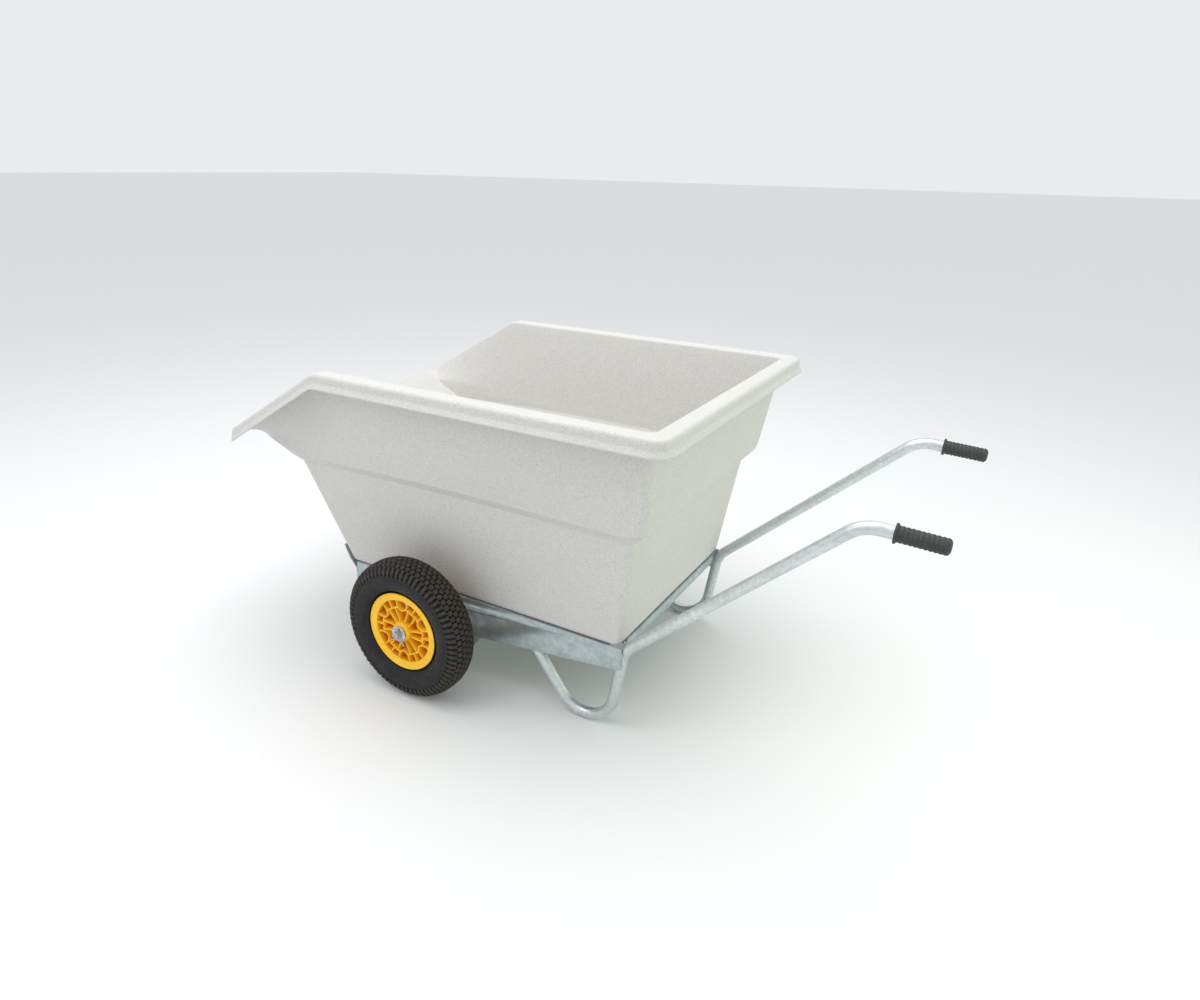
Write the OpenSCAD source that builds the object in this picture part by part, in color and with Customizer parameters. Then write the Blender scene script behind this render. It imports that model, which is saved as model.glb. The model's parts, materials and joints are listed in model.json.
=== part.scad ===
// Two-wheeled tipping barrow: a moulded tub bolted to a folded steel frame on a fixed axle.
// +X points back to the handles, +Y to the right-hand side, +Z up; the wheels and legs stand on Z = 0.
// Sections and outlines below are given from the axle's centre line and moved to the origin at the end.

/* [Tub] */
// Height of the rim above the ground
rim_h = 873; // [850:1:900]
// Width of the tub over its rim, without the turned-out lip
rim_w = 994; // [980:1:1010]
// Distance from the axle forward to the rim's front edge
rim_front = 653; // [640:1:665]
// Distance from the axle back to the rim's rear edge
rim_rear = 730; // [715:1:745]
// Distance from the axle forward to where the rim starts to slope down
rim_knee = 292; // [270:1:310]
// Drop of the rim from its level part to the pouring lip
pour_drop = 222; // [200:1:240]
// Wall thickness of the moulded tub
wall_t = 7; // [5:0.5:8]
// Width of the flat band round the top of the rim
rim_band = 50; // [40:1:56]
// Depth of the rim's turned-down edge
rim_fold = 41; // [34:1:46]
// How far the lip of the rim stands out
lip_out = 9; // [4:1:12]

/* [Frame] */
// Height of the frame's top face, on which the tub stands
deck_h = 252.5; // [245:0.5:260]
// Width over the side rails
frame_w = 692; // [680:1:700]
// Thickness of the folded sheet
sheet_t = 2.5; // [2:0.5:3]
// Width of the side rail's top flange
flange_w = 62; // [55:1:70]
// Distance from the axle forward to the front of the side rails
rail_front = 324; // [321:0.5:326]
// Distance from the axle back to the end of the side rails
rail_rear = 580; // [570:1:590]

/* [Handles] */
// Outside diameter of the bent tube that is both leg and handle
tube_d = 30; // [28:1:32]
// Wall thickness of the tube
tube_t = 2; // [1.5:0.5:3]
// Distance from the centre plane to each tube's own plane
tube_y = 327.5; // [325:0.5:328]
// Bend radius of the loop that stands on the ground
loop_r = 87; // [80:1:90]
// Bend radius where the leg turns into the handle
elbow_r = 87; // [80:1:95]
// Bend radius behind the grip
wrist_r = 90; // [80:1:100]
// Length of the rubber grip
grip_len = 108; // [100:1:130]
// Outside diameter of the rubber grip
grip_d = 36; // [34:1:38]

/* [Wheels] */
// Outside diameter of the tyre
tyre_d = 400; // [390:1:410]
// Width of the tyre
tyre_w = 96; // [90:1:98]
// Distance from the centre plane to the middle of each wheel
wheel_y = 480; // [478:1:484]
// Outside diameter of the rim's flange
flange_d = 226; // [220:1:230]
// Width of the rim over its flanges
rim_seat_w = 70; // [66:1:72]
// Diameter of the axle
axle_d = 20; // [18:1:22]
// Radial running clearance between the axle and its bushes
running_gap = 0.05; // [0.03:0.01:0.1]
// Outside diameter of the washer that keeps the wheel on
keeper_d = 46; // [40:1:50]

/* [Fasteners] */
// Thread diameter of the bolts that hold the tub
bolt_d = 8; // [6:1:8]
// Width across flats of their nuts
nut_af = 13; // [10:1:13]

/* [Hidden] */

$fn = 48;

grip_tilt = 2.8;                    // the grips droop by this many degrees
grip_end = 1276;                    // axle to the end of the grips
axle_x = (rim_front + lip_out - grip_end) / 2;
axle_z = tyre_d / 2;
axle_r = axle_d / 2;
fit_gap = 0.05;                     // between pieces that are fixed to each other

rail_y = frame_w / 2;
rail_in = rail_y - sheet_t;
deck_under = deck_h - sheet_t;

// The handle tube's path in its own plane, as corner points that the bends round off
brace_top = [296, 185.5];
loop_corner = [524.2, -112.55];
elbow_corner = [579, 240];
wrist_corner = [1105, 721];
tube_end = [grip_end - 6, wrist_corner[1] - (grip_end - 6 - wrist_corner[0]) * tan(grip_tilt)];
tube_path = [brace_top, loop_corner, elbow_corner, wrist_corner, tube_end];
bend_r = [0, loop_r, elbow_r, wrist_r, 0];

hub_half = 45;                      // half the length of the hub
bush_r = 13;
bush_len = 22;
bush_flange_t = 2;
seat_r = flange_d / 2 - 12;         // radius of the tyre's seat on the rim
seat_t = 6;
seat_half = rim_seat_w / 2;
rim_flange_t = 4;
web_in = 5;                         // the web's floor, from the rim's middle plane
web_t = 3;
rib_top = 31;                       // the ribs' front edge, from the rim's middle plane
rib_step = 1;                       // the ribs stand this far inside the ring and the web's faces
rim_ribs = 12;
rib_t = 4;
screw_pcd = 150;
screw_d = 6;
screw_count = 6;
screw_nut_af = 10;
valve_r = 4.4;
valve_angle = 69;                   // leaves room between two ribs
valve_out = 15;                     // from the rim's middle plane, outwards
keeper_t = 3;
keeper_gap = 0.6;                   // between the hub and each washer
pin_r = 2.4;
pin_off = 4.2;                      // the split pin's hole, outside the washer

// ---- outlines in plan for the tub ----

corner_steps = 7;
knee_blend = 18;
knee_f = [0.60, 0.725, 0.735, 0.743, 0.751, 0.761, 0.80];
pour_slope = pour_drop / (rim_front - rim_knee);

// Height of the rim's top at distance x from the axle: level, a rounded knee, then a straight slope
function knee_fall(d) =
    d < -knee_blend ? 0 : d > knee_blend ? d : pow(d + knee_blend, 2) / (4 * knee_blend);
function rim_top(x) = rim_h - pour_slope * knee_fall(-rim_knee - x);

function corner(cx, cy, r, a0) =
    [for (i = [0:corner_steps]) let (a = a0 + 90 * i / corner_steps) [cx + r * cos(a), cy + r * sin(a)]];

// Closed outline of a level: front and rear x, half width, front and rear corner radius
function outline(xf, xr, hw, rf, rr) =
    let (xa = xr - rr, xb = xf + rf, last = len(knee_f) - 1)
    concat(
        corner(xa, hw - rr, rr, 0),
        [for (f = knee_f) [xa + (xb - xa) * f, hw]],
        corner(xb, hw - rf, rf, 90),
        corner(xb, rf - hw, rf, 180),
        [for (i = [last:-1:0]) [xa + (xb - xa) * knee_f[i], -hw]],
        corner(xa, rr - hw, rr, 270)
    );

// A level of the wall, given as [front, rear, half width, front radius, rear radius, height]
function wall_level(w, inset, front_inset, lift) =
    let (r_min = 5)
    [for (p = outline(w[0] + front_inset, w[1] - inset, w[2] - inset,
                      max(w[3] - inset, r_min), max(w[4] - inset, r_min)))
        [p[0], p[1], w[5] + lift]];

// How far each point of an outline belongs to the pouring lip: 0 along the sides, 1 across the front
lip_start = 0.4;                    // the share of each front corner that still belongs to the side
function lip_share(i) = max(0, (i / corner_steps - lip_start) / (1 - lip_start));
no_lip = [for (i = [0:corner_steps + len(knee_f)]) 0];
lip_corner = [for (i = [0:corner_steps]) lip_share(i)];
lip_shares = concat(no_lip, lip_corner, [for (i = [corner_steps:-1:0]) lip_corner[i]], no_lip);

// A level of the rim: out from its edge and down from its top, at the sides and then at the lip
function rim_level(out, down, lip_out, lip_down) =
    let (ring = outline(-rim_front - lip_out, rim_rear + out, rim_w / 2 + out,
                        max(22 + out, 14), max(42 + out, 18)))
    [for (i = [0:len(ring) - 1]) let (p = ring[i], s = lip_shares[i])
        [p[0], p[1], rim_top(p[0]) - down * (1 - s) - lip_down * s]];

floor_edge = [-330, 559, 332, 16, 14, deck_h];
floor_curve = [-341, 566.5, 339.5, 16, 15, deck_h + 3.5];
wall_foot = [-352, 570, 342.5, 16, 16, deck_h + 14.5];
ledge_low = [-495, 613, 376, 18, 18, 562];
ledge_high = [-538, 646, 395.5, 18, 20, 590];
chute_low = [-573.5, 649, 398.4, 20, 22, 603];
chute_mid = [-600.7, 651.5, 401.2, 20, 22, 616];
chute_high = [-622, 655, 404.5, 18, 22, 631];
front_t = wall_t + 1;               // along X, where the front wall leans
slope_t = 2 * wall_t + 1;           // along X, where the chute lies flatter

// The tub's section as a loop of levels: up the inside, over the rim and down the outside
tub_levels = [
    wall_level(floor_edge, wall_t, front_t, wall_t),
    wall_level(floor_curve, wall_t, front_t, wall_t),
    wall_level(wall_foot, wall_t, front_t, 0),
    wall_level(ledge_low, wall_t, front_t + 2, 0),
    wall_level(ledge_high, wall_t, slope_t, 0),
    wall_level(chute_low, wall_t, slope_t, 0),
    wall_level(chute_mid, wall_t, slope_t, 0),
    wall_level(chute_high, wall_t, slope_t - 1, 0),
    rim_level(-rim_band - 1, 8, -12, 9),
    rim_level(-rim_band + 5, 1.5, -9, 5.5),
    rim_level(-rim_band + 10, 0, -6, 2.2),
    rim_level(-14, 0, -3, 0.4),
    rim_level(-5, 2.5, -1, 0.3),
    rim_level(-1, 9, 0, 1.5),
    rim_level(0, rim_fold - 12, 0.3, 3.5),
    rim_level(lip_out, rim_fold - 6, 0.5, 5),
    rim_level(lip_out, rim_fold, 0, 7.5),
    rim_level(-2, rim_fold - 2, -2, 9.2),
    rim_level(-wall_t, rim_fold - 12, -4, 11),
    rim_level(-wall_t - 1, 12, -6, 12.9),
    rim_level(-wall_t - 7, wall_t, -8, 14.9),
    rim_level(-rim_band + wall_t + 2, wall_t, -10, 16.9),
    rim_level(-rim_band + wall_t - 1, 2 * wall_t, -12, 18.9),
    wall_level(chute_high, 0, 0, 0),
    wall_level(chute_mid, 0, 0, 0),
    wall_level(chute_low, 0, 0, 0),
    wall_level(ledge_high, 0, 0, 0),
    wall_level(ledge_low, 0, 0, 0),
    wall_level(wall_foot, 0, 0, 0),
    wall_level(floor_curve, 0, 0, 0),
    wall_level(floor_edge, 0, 0, 0)
];

module from_axle() { translate([axle_x, 0, 0]) children(); }
module right_side() { mirror([0, 1, 0]) children(); }

// A skin through rings with the same number of points: capped at both ends, or joined into a loop
module skin(levels, loop = false) {
    n = len(levels[0]);
    last = len(levels) - 1;
    points = [for (ring = levels) for (p = ring) p];
    sides = [for (k = [0:loop ? last : last - 1]) for (i = [0:n - 1])
        let (j = (i + 1) % n, a = k * n, b = ((k + 1) % len(levels)) * n)
        each [[a + i, a + j, b + j], [a + i, b + j, b + i]]];
    start_cap = [for (i = [n - 1:-1:0]) i];
    end_cap = [for (i = [0:n - 1]) last * n + i];
    polyhedron(points, loop ? sides : concat([start_cap], sides, [end_cap]));
}

// ---- fasteners ----

floor_in = deck_h + wall_t;
bolt_r = bolt_d / 2;
head_r = 9;
head_h = 4.5;
washer_t = 1.6;
nut_h = 6.5;
tub_bolt_x = [-220, 75, 430];
tub_bolt_y = 300;

module at_tub_bolts() {
    for (x = tub_bolt_x, side = [-1, 1]) translate([x, side * tub_bolt_y, 0]) children();
}

// Round-headed bolt along -Z with its head resting on Z = 0
module round_bolt(length) {
    intersection() {
        translate([0, 0, head_h - head_r * 1.35]) sphere(r = head_r * 1.35);
        cylinder(r = head_r, h = head_h);
    }
    translate([0, 0, -length]) cylinder(r = bolt_r, h = length + 1);
}

// Hexagon nut from Z = 0 upwards
module hex_nut(af, h, r) {
    difference() {
        cylinder(d = af / cos(30), h = h, $fn = 6);
        translate([0, 0, -1]) cylinder(r = r + fit_gap, h = h + 2);
    }
}

module washer(r_out, r_in, h) {
    difference() {
        cylinder(r = r_out, h = h);
        translate([0, 0, -1]) cylinder(r = r_in, h = h + 2);
    }
}

// The front wall leans forward; these bolts stand square to it
wall_lean = atan((ledge_low[0] - wall_foot[0]) / (ledge_low[5] - wall_foot[5]));
front_bolt_y = [-310, -272, 272, 310];
front_bolt_h = deck_h + 33;
front_bolt_x = wall_foot[0] + (front_bolt_h - wall_foot[5]) * tan(wall_lean);

// Z along the front wall's outward normal, with Z = 0 on its outer face
module at_front_bolts() {
    for (y = front_bolt_y) translate([front_bolt_x, y, front_bolt_h])
        rotate([0, -90 + wall_lean, 0]) children();
}

upstand_gap = 1.5;
front_wall_t = (front_t + 0.3) * cos(wall_lean);

// ---- tub ----

module tub() {
    color([0.80, 0.79, 0.76]) from_axle() difference() {
        skin(tub_levels);
        at_tub_bolts() translate([0, 0, deck_h - 2]) cylinder(r = bolt_r + 0.2, h = wall_t + 6);
        at_front_bolts() translate([0, 0, -wall_t - 6]) cylinder(r = bolt_r + 0.2, h = wall_t + 12);
    }
}

module tub_bolts() {
    color([0.72, 0.74, 0.75]) from_axle() at_tub_bolts()
        translate([0, 0, floor_in]) round_bolt(wall_t + sheet_t + washer_t + nut_h + 3);
}

module tub_washers() {
    color([0.70, 0.72, 0.73]) from_axle() at_tub_bolts()
        translate([0, 0, deck_under - washer_t]) washer(head_r, bolt_r + 0.3, washer_t);
}

module tub_nuts() {
    color([0.68, 0.70, 0.71]) from_axle() at_tub_bolts()
        translate([0, 0, deck_under - washer_t - nut_h]) hex_nut(nut_af, nut_h, bolt_r);
}

module front_bolts() {
    color([0.72, 0.74, 0.75]) from_axle() at_front_bolts()
        translate([0, 0, upstand_gap + sheet_t]) round_bolt(wall_t + upstand_gap + sheet_t + nut_h + 3);
}

module front_nuts() {
    color([0.68, 0.70, 0.71]) from_axle() at_front_bolts()
        translate([0, 0, -front_wall_t - nut_h]) hex_nut(nut_af, nut_h, bolt_r);
}

// ---- frame ----

steel = [0.66, 0.70, 0.71];
plate_low = 86;                     // lowest edge of the axle bracket
web_rear_low = 190;
web_mid_low = 140;
bracket_half = 137;
bracket_t = 4;
flange_rear = 543;

module left_side_rail_shape() {
    from_axle() difference() {
        union() {
            translate([0, -rail_in, 0]) rotate([90, 0, 0]) linear_extrude(sheet_t)
                polygon([
                    [-rail_front, deck_h], [-rail_front, 188], [-bracket_half, web_mid_low],
                    [bracket_half, web_mid_low], [rail_rear, web_rear_low], [rail_rear, deck_h]
                ]);
            translate([-rail_front, -rail_y, deck_under])
                cube([rail_front + flange_rear, flange_w, sheet_t]);
        }
        axle_hole();
        at_tub_bolts() translate([0, 0, deck_under - 1]) cylinder(r = bolt_r + 0.3, h = sheet_t + 2);
    }
}

module axle_hole() {
    translate([0, 0, axle_z]) rotate([90, 0, 0])
        cylinder(r = axle_r + fit_gap, h = 2 * wheel_y, center = true);
}

module left_side_rail() { color(steel) left_side_rail_shape(); }
module right_side_rail() { color(steel) right_side() left_side_rail_shape(); }

cross_half = rail_y - flange_w - 0.5;

module front_cross_rail() {
    color(steel) from_axle() union() {
        translate([-rail_front, -cross_half, deck_under]) cube([30, 2 * cross_half, sheet_t]);
        translate([-rail_front, -cross_half, 205]) cube([sheet_t, 2 * cross_half, deck_h - 205]);
    }
}

// The point one sheet thickness behind point i of a line that runs upwards
function behind(line, i) = unit([line[i + 1][1] - line[i][1], line[i][0] - line[i + 1][0]]);
function inner_point(line, i) =
    let (last = len(line) - 1, a = behind(line, max(i - 1, 0)), b = behind(line, min(i, last - 1)))
    line[i] + sheet_t * (a + b) / (1 + a * b);

// A point off the front wall's outer face, at height z before it is moved out by gap
function off_front_wall(z, gap) =
    [wall_foot[0] + (z - wall_foot[5]) * tan(wall_lean) - gap * cos(wall_lean), z + gap * sin(wall_lean)];

upstand_foot = 188;
upstand_fold = 231;
upstand_bend = deck_h + 7.5;
upstand_tip = deck_h + 47.5;

// Folded plate up the tub's front wall; its outline is in side view
module front_upstand() {
    face_x = -rail_front - 0.1 - sheet_t;
    face = [
        [face_x, upstand_foot], [face_x, upstand_fold],
        off_front_wall(upstand_bend, upstand_gap + sheet_t),
        off_front_wall(upstand_tip, upstand_gap + sheet_t)
    ];
    color(steel) from_axle() difference() {
        translate([0, rail_y, 0]) rotate([90, 0, 0]) linear_extrude(frame_w)
            polygon(concat(face, [for (i = [len(face) - 1:-1:0]) inner_point(face, i)]));
        at_front_bolts() translate([0, 0, -2]) cylinder(r = bolt_r + 0.3, h = 14);
    }
}

rear_face = 572;
rear_half = 296;

module rear_cross_rail() {
    color(steel) from_axle() union() {
        translate([flange_rear + 2, -rear_half, deck_under])
            cube([rear_face - flange_rear - 2, 2 * rear_half, sheet_t]);
        translate([rear_face - sheet_t, -rear_half, 226]) cube([sheet_t, 2 * rear_half, deck_h - 226]);
    }
}

// Top-hat bearer across the frame, under the tub's floor
module bearer(x) {
    w = 50;
    h = 30;
    brim = 14;
    from_axle() translate([x, 0, deck_h - h]) union() {
        difference() {
            translate([-w / 2, -cross_half, 0]) cube([w, 2 * cross_half, h]);
            translate([-w / 2 + sheet_t, -cross_half - 1, -1])
                cube([w - 2 * sheet_t, 2 * cross_half + 2, h - sheet_t + 1]);
        }
        for (side = [-1, 1]) translate([side > 0 ? w / 2 - sheet_t : -w / 2 - brim, -cross_half, 0])
            cube([brim + sheet_t, 2 * cross_half, sheet_t]);
    }
}

module front_bearer() { color(steel) bearer(-130); }
module rear_bearer() { color(steel) bearer(290); }

module rear_gussets() {
    color(steel) from_axle() for (side = [-1, 1]) translate([0, 0, deck_under - sheet_t])
        linear_extrude(sheet_t) polygon([
            [462, side * 309], [rear_face - sheet_t - 0.5, side * 309],
            [rear_face - sheet_t - 0.5, side * 200]
        ]);
}

module left_axle_bracket_shape() {
    from_axle() difference() {
        translate([0, -rail_in + bracket_t, 0]) rotate([90, 0, 0]) linear_extrude(bracket_t)
            polygon([
                [-bracket_half, 236], [-bracket_half, web_mid_low], [-100, plate_low], [100, plate_low],
                [bracket_half, web_mid_low], [bracket_half, 236]
            ]);
        axle_hole();
    }
}

module left_axle_bracket() { color(steel) left_axle_bracket_shape(); }
module right_axle_bracket() { color(steel) right_side() left_axle_bracket_shape(); }

// ---- bent tubes ----

function unit(v) = v / norm(v);
function heading(v) = atan2(v[1], v[0]);
function turn(path, i) = let (
        a = heading(path[i] - path[i - 1]),
        b = heading(path[i + 1] - path[i]),
        d = b - a
    ) d > 180 ? d - 360 : d < -180 ? d + 360 : d;
function setback(path, radii, i) =
    (i == 0 || i == len(path) - 1) ? 0 : radii[i] * tan(abs(turn(path, i)) / 2);

// Stations [point, heading] along the path: its two ends, and every bend_step degrees of each bend
bend_step = 7.5;
function bend_stations(path, radii, i) =
    let (
        back = unit(path[i] - path[i - 1]),
        bend = turn(path, i),
        side = bend > 0 ? 1 : -1,
        first = path[i] - back * setback(path, radii, i),
        centre = first + side * radii[i] * [-back[1], back[0]],
        steps = ceil(abs(bend) / bend_step),
        from = heading(first - centre)
    )
    [for (k = [0:steps]) let (a = from + bend * k / steps)
        [centre + radii[i] * [cos(a), sin(a)], a + side * 90]];
function stations(path, radii) =
    let (last = len(path) - 1)
    concat(
        [[path[0], heading(path[1] - path[0])]],
        [for (i = [1:last - 1]) each bend_stations(path, radii, i)],
        [[path[last], heading(path[last] - path[last - 1])]]
    );

tube_sides = 24;
function tube_ring(station, r) =
    [for (k = [0:tube_sides - 1])
        let (a = 360 * k / tube_sides, h = station[1])
        [station[0][0] - r * cos(a) * sin(h), station[0][1] + r * cos(a) * cos(h), -r * sin(a)]];

// A hollow tube along a path in the X-Y plane
module bent_tube(path, radii, r_out, r_in) {
    line = stations(path, radii);
    skin(concat(
        [for (s = line) tube_ring(s, r_out)],
        [for (i = [len(line) - 1:-1:0]) tube_ring(line[i], r_in)]
    ), loop = true);
}

module left_handle_tube_shape() {
    from_axle() translate([0, -tube_y, 0]) rotate([90, 0, 0])
        bent_tube(tube_path, bend_r, tube_d / 2, tube_d / 2 - tube_t);
}

module left_handle_tube() { color([0.74, 0.77, 0.77]) left_handle_tube_shape(); }
module right_handle_tube() { color([0.74, 0.77, 0.77]) right_side() left_handle_tube_shape(); }

grip_collar_d = 44;
grip_collar_t = 5;
grip_end_t = 5;

// A sleeve closed at its outer end, with a collar at its inner end
module left_grip_shape() {
    bore_r = tube_d / 2 + fit_gap;
    edge = 4;
    from_axle() translate([tube_end[0], -tube_y, tube_end[1]]) rotate([0, 90 + grip_tilt, 0])
        rotate_extrude() difference() {
            union() {
                translate([0, grip_end_t + 1 - grip_len]) square([grip_d / 2, grip_len - edge]);
                translate([0, grip_end_t + 1 - edge]) square([grip_d / 2 - edge, edge]);
                translate([grip_d / 2 - edge, grip_end_t + 1 - edge]) intersection() {
                    circle(r = edge);
                    square(edge);
                }
                translate([0, grip_end_t + 1 - grip_len]) square([grip_collar_d / 2, grip_collar_t]);
            }
            translate([0, -grip_len]) square([bore_r, grip_len + fit_gap]);
        }
}

module left_grip() { color([0.22, 0.22, 0.22]) left_grip_shape(); }
module right_grip() { color([0.22, 0.22, 0.22]) right_side() left_grip_shape(); }

// ---- axle and what keeps the wheels on it ----

hub_out = wheel_y + hub_half;
hub_in = wheel_y - hub_half;
keeper_y = hub_out + keeper_gap;
pin_y = keeper_y + keeper_t + pin_off;
axle_half = pin_y + 9;

module axle() {
    color([0.62, 0.65, 0.67]) from_axle() translate([0, 0, axle_z]) difference() {
        rotate([90, 0, 0]) cylinder(r = axle_r, h = 2 * axle_half, center = true);
        for (side = [-1, 1]) translate([0, side * pin_y, 0])
            cylinder(r = pin_r + 0.2, h = 3 * axle_r, center = true);
    }
}

// Puts a shape whose outward direction is Z on the left end of the axle, with Z = 0 at distance y
module on_left_axle(y) {
    from_axle() translate([0, -y, axle_z]) rotate([90, 0, 0]) children();
}

module left_spacer_shape() {
    start = rail_y + 0.5;
    on_left_axle(start) washer(14, axle_r + fit_gap, hub_in - keeper_gap - keeper_t - start - 0.1);
}
module left_spacer() { color([0.60, 0.63, 0.64]) left_spacer_shape(); }
module right_spacer() { color([0.60, 0.63, 0.64]) right_side() left_spacer_shape(); }

module left_inner_washer_shape() {
    on_left_axle(hub_in - keeper_gap - keeper_t) washer(keeper_d / 2, axle_r + fit_gap, keeper_t);
}
module left_inner_washer() { color([0.70, 0.72, 0.72]) left_inner_washer_shape(); }
module right_inner_washer() { color([0.70, 0.72, 0.72]) right_side() left_inner_washer_shape(); }

module left_outer_washer_shape() {
    on_left_axle(keeper_y) washer(keeper_d / 2, axle_r + fit_gap, keeper_t);
}
module left_outer_washer() { color([0.70, 0.72, 0.72]) left_outer_washer_shape(); }
module right_outer_washer() { color([0.70, 0.72, 0.72]) right_side() left_outer_washer_shape(); }

// Pin through the axle with an eye at the top and two legs bent apart below
module left_split_pin_shape() {
    eye_r = 5;
    leg = 15;
    drop = axle_r + 4;
    on_left_axle(pin_y) rotate([-90, 0, 0]) union() {
        translate([0, 0, -drop]) cylinder(r = pin_r, h = 2 * drop);
        translate([0, 0, drop + eye_r]) rotate([90, 0, 0])
            rotate_extrude() translate([eye_r, 0]) circle(r = pin_r * 0.9);
        translate([0, 0, -drop]) sphere(r = pin_r);
        for (side = [-1, 1]) translate([0, 0, -drop]) rotate([0, 180 + side * 50, 0])
            cylinder(r = pin_r * 0.8, h = leg);
    }
}
module left_split_pin() { color([0.75, 0.77, 0.77]) left_split_pin_shape(); }
module right_split_pin() { color([0.75, 0.77, 0.77]) right_side() left_split_pin_shape(); }

// ---- wheel, about its own axis Z with Z pointing outwards and Z = 0 at its middle plane ----

module wheel_at_left() { on_left_axle(wheel_y) children(); }

section_r = axle_z - 44;
soft_power = 2.6;

function softened(v) = sign(v) * pow(abs(v), 2 / soft_power);

// A rounded-square section, half width a and half height b, in the revolved plane
module soft_box(a, b) {
    step = 8;
    translate([section_r, 0]) polygon([for (t = [0:step:359]) [b * softened(cos(t)), a * softened(sin(t))]]);
}

casing_t = 7;
bead_in = 20;
bead_out = seat_half - rim_flange_t - 0.3;

module tyre_shape() {
    rotate_extrude($fn = 128) difference() {
        union() {
            difference() {
                soft_box(tyre_w / 2, 44);
                translate([0, -bead_in]) square([section_r - 20, 2 * bead_in]);
            }
            for (side = [-1, 1]) translate([seat_r + 0.1, side > 0 ? bead_in : -bead_out])
                square([24, bead_out - bead_in]);
        }
        soft_box(tyre_w / 2 - casing_t, 44 - casing_t);
    }
}

module inner_tube_shape() {
    gap = 0.5;
    rubber = 2;
    rotate_extrude($fn = 128) difference() {
        soft_box(tyre_w / 2 - casing_t - gap, 44 - casing_t - gap);
        soft_box(tyre_w / 2 - casing_t - gap - rubber, 44 - casing_t - gap - rubber);
    }
}

module at_rim_screws() {
    for (i = [0:screw_count - 1]) rotate([0, 0, 360 / screw_count * (i + 0.5)])
        translate([screw_pcd / 2, 0, 0]) children();
}

// One moulded half of the rim, from the middle plane outwards
module rim_half(with_valve_hole) {
    boss_r = 8;
    difference() {
        union() {
            rotate_extrude($fn = 128) union() {
                translate([seat_r - seat_t, 0.1]) square([seat_t, seat_half - 0.1]);
                translate([seat_r - seat_t, seat_half - rim_flange_t])
                    square([flange_d / 2 - seat_r + seat_t, rim_flange_t]);
                translate([bush_r + 3, web_in]) square([seat_r - seat_t / 2 - bush_r - 3, web_t]);
                translate([bush_r + fit_gap, 0.1]) square([7, hub_half - bush_flange_t - 0.1]);
                translate([54, web_in]) square([rib_t, rib_top - web_in]);
            }
            for (i = [0:rim_ribs - 1]) rotate([0, 0, 360 / rim_ribs * (i + 0.5)])
                translate([bush_r + 5, -rib_t / 2, web_in + rib_step])
                cube([seat_r - seat_t / 2 - bush_r - 5, rib_t, rib_top - web_in - 2 * rib_step]);
            at_rim_screws() translate([0, 0, 0.1]) cylinder(r = boss_r, h = web_in + web_t + 3);
        }
        at_rim_screws() translate([0, 0, -1]) cylinder(r = screw_d / 2 + 0.1, h = 30);
        if (with_valve_hole) valve_line() translate([0, 0, seat_r - seat_t - 4])
            cylinder(r = valve_r + 0.2, h = 14);
    }
}

// Z along the valve's radial line, from the wheel's axis outwards
module valve_line() {
    translate([0, 0, valve_out]) rotate([0, 0, valve_angle]) rotate([0, 90, 0]) children();
}

screw_grip = web_in + web_t + 3.1;

module rim_screws_shape() {
    at_rim_screws() union() {
        translate([0, 0, screw_grip]) cylinder(r = 5.5, h = 4);
        translate([0, 0, -screw_grip - 8]) cylinder(r = screw_d / 2, h = 2 * screw_grip + 9);
    }
}

module rim_nuts_shape() {
    at_rim_screws() translate([0, 0, -screw_grip - 5]) hex_nut(screw_nut_af, 4.9, screw_d / 2);
}

// Flanged bush, pushed into the hub from its outer end
module bush_shape() {
    rotate_extrude() union() {
        translate([axle_r + running_gap, hub_half - bush_len])
            square([bush_r - axle_r - running_gap, bush_len]);
        translate([axle_r + running_gap, hub_half - bush_flange_t])
            square([20 - axle_r - running_gap, bush_flange_t]);
    }
}

valve_foot = section_r - 35;
valve_tip = 80;

module valve_stem_shape() {
    valve_line() translate([0, 0, valve_tip]) union() {
        cylinder(r = 2.6, h = valve_foot - valve_tip - 3);
        translate([0, 0, 8]) cylinder(r = valve_r, h = valve_foot - valve_tip - 12);
    }
}

module valve_cap_shape() {
    valve_line() translate([0, 0, valve_tip - 4]) difference() {
        cylinder(r = 4, h = 11);
        translate([0, 0, 4]) cylinder(r = 2.6 + fit_gap, h = 8);
    }
}

tyre_grey = [0.17, 0.16, 0.15];
rim_yellow = [0.98, 0.74, 0.12];

module left_tyre() { color(tyre_grey) wheel_at_left() tyre_shape(); }
module left_inner_tube() { color([0.1, 0.1, 0.1]) wheel_at_left() inner_tube_shape(); }
module left_rim_outer() { color(rim_yellow) wheel_at_left() rim_half(true); }
module left_rim_inner() { color(rim_yellow) wheel_at_left() mirror([0, 0, 1]) rim_half(false); }
module left_outer_bush() { color([0.85, 0.85, 0.80]) wheel_at_left() bush_shape(); }
module left_inner_bush() { color([0.85, 0.85, 0.80]) wheel_at_left() mirror([0, 0, 1]) bush_shape(); }
module left_rim_screws() { color([0.7, 0.7, 0.7]) wheel_at_left() rim_screws_shape(); }
module left_rim_nuts() { color([0.7, 0.7, 0.7]) wheel_at_left() rim_nuts_shape(); }
module left_valve_stem() { color([0.1, 0.1, 0.1]) wheel_at_left() valve_stem_shape(); }
module left_valve_cap() { color([0.08, 0.08, 0.08]) wheel_at_left() valve_cap_shape(); }

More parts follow.
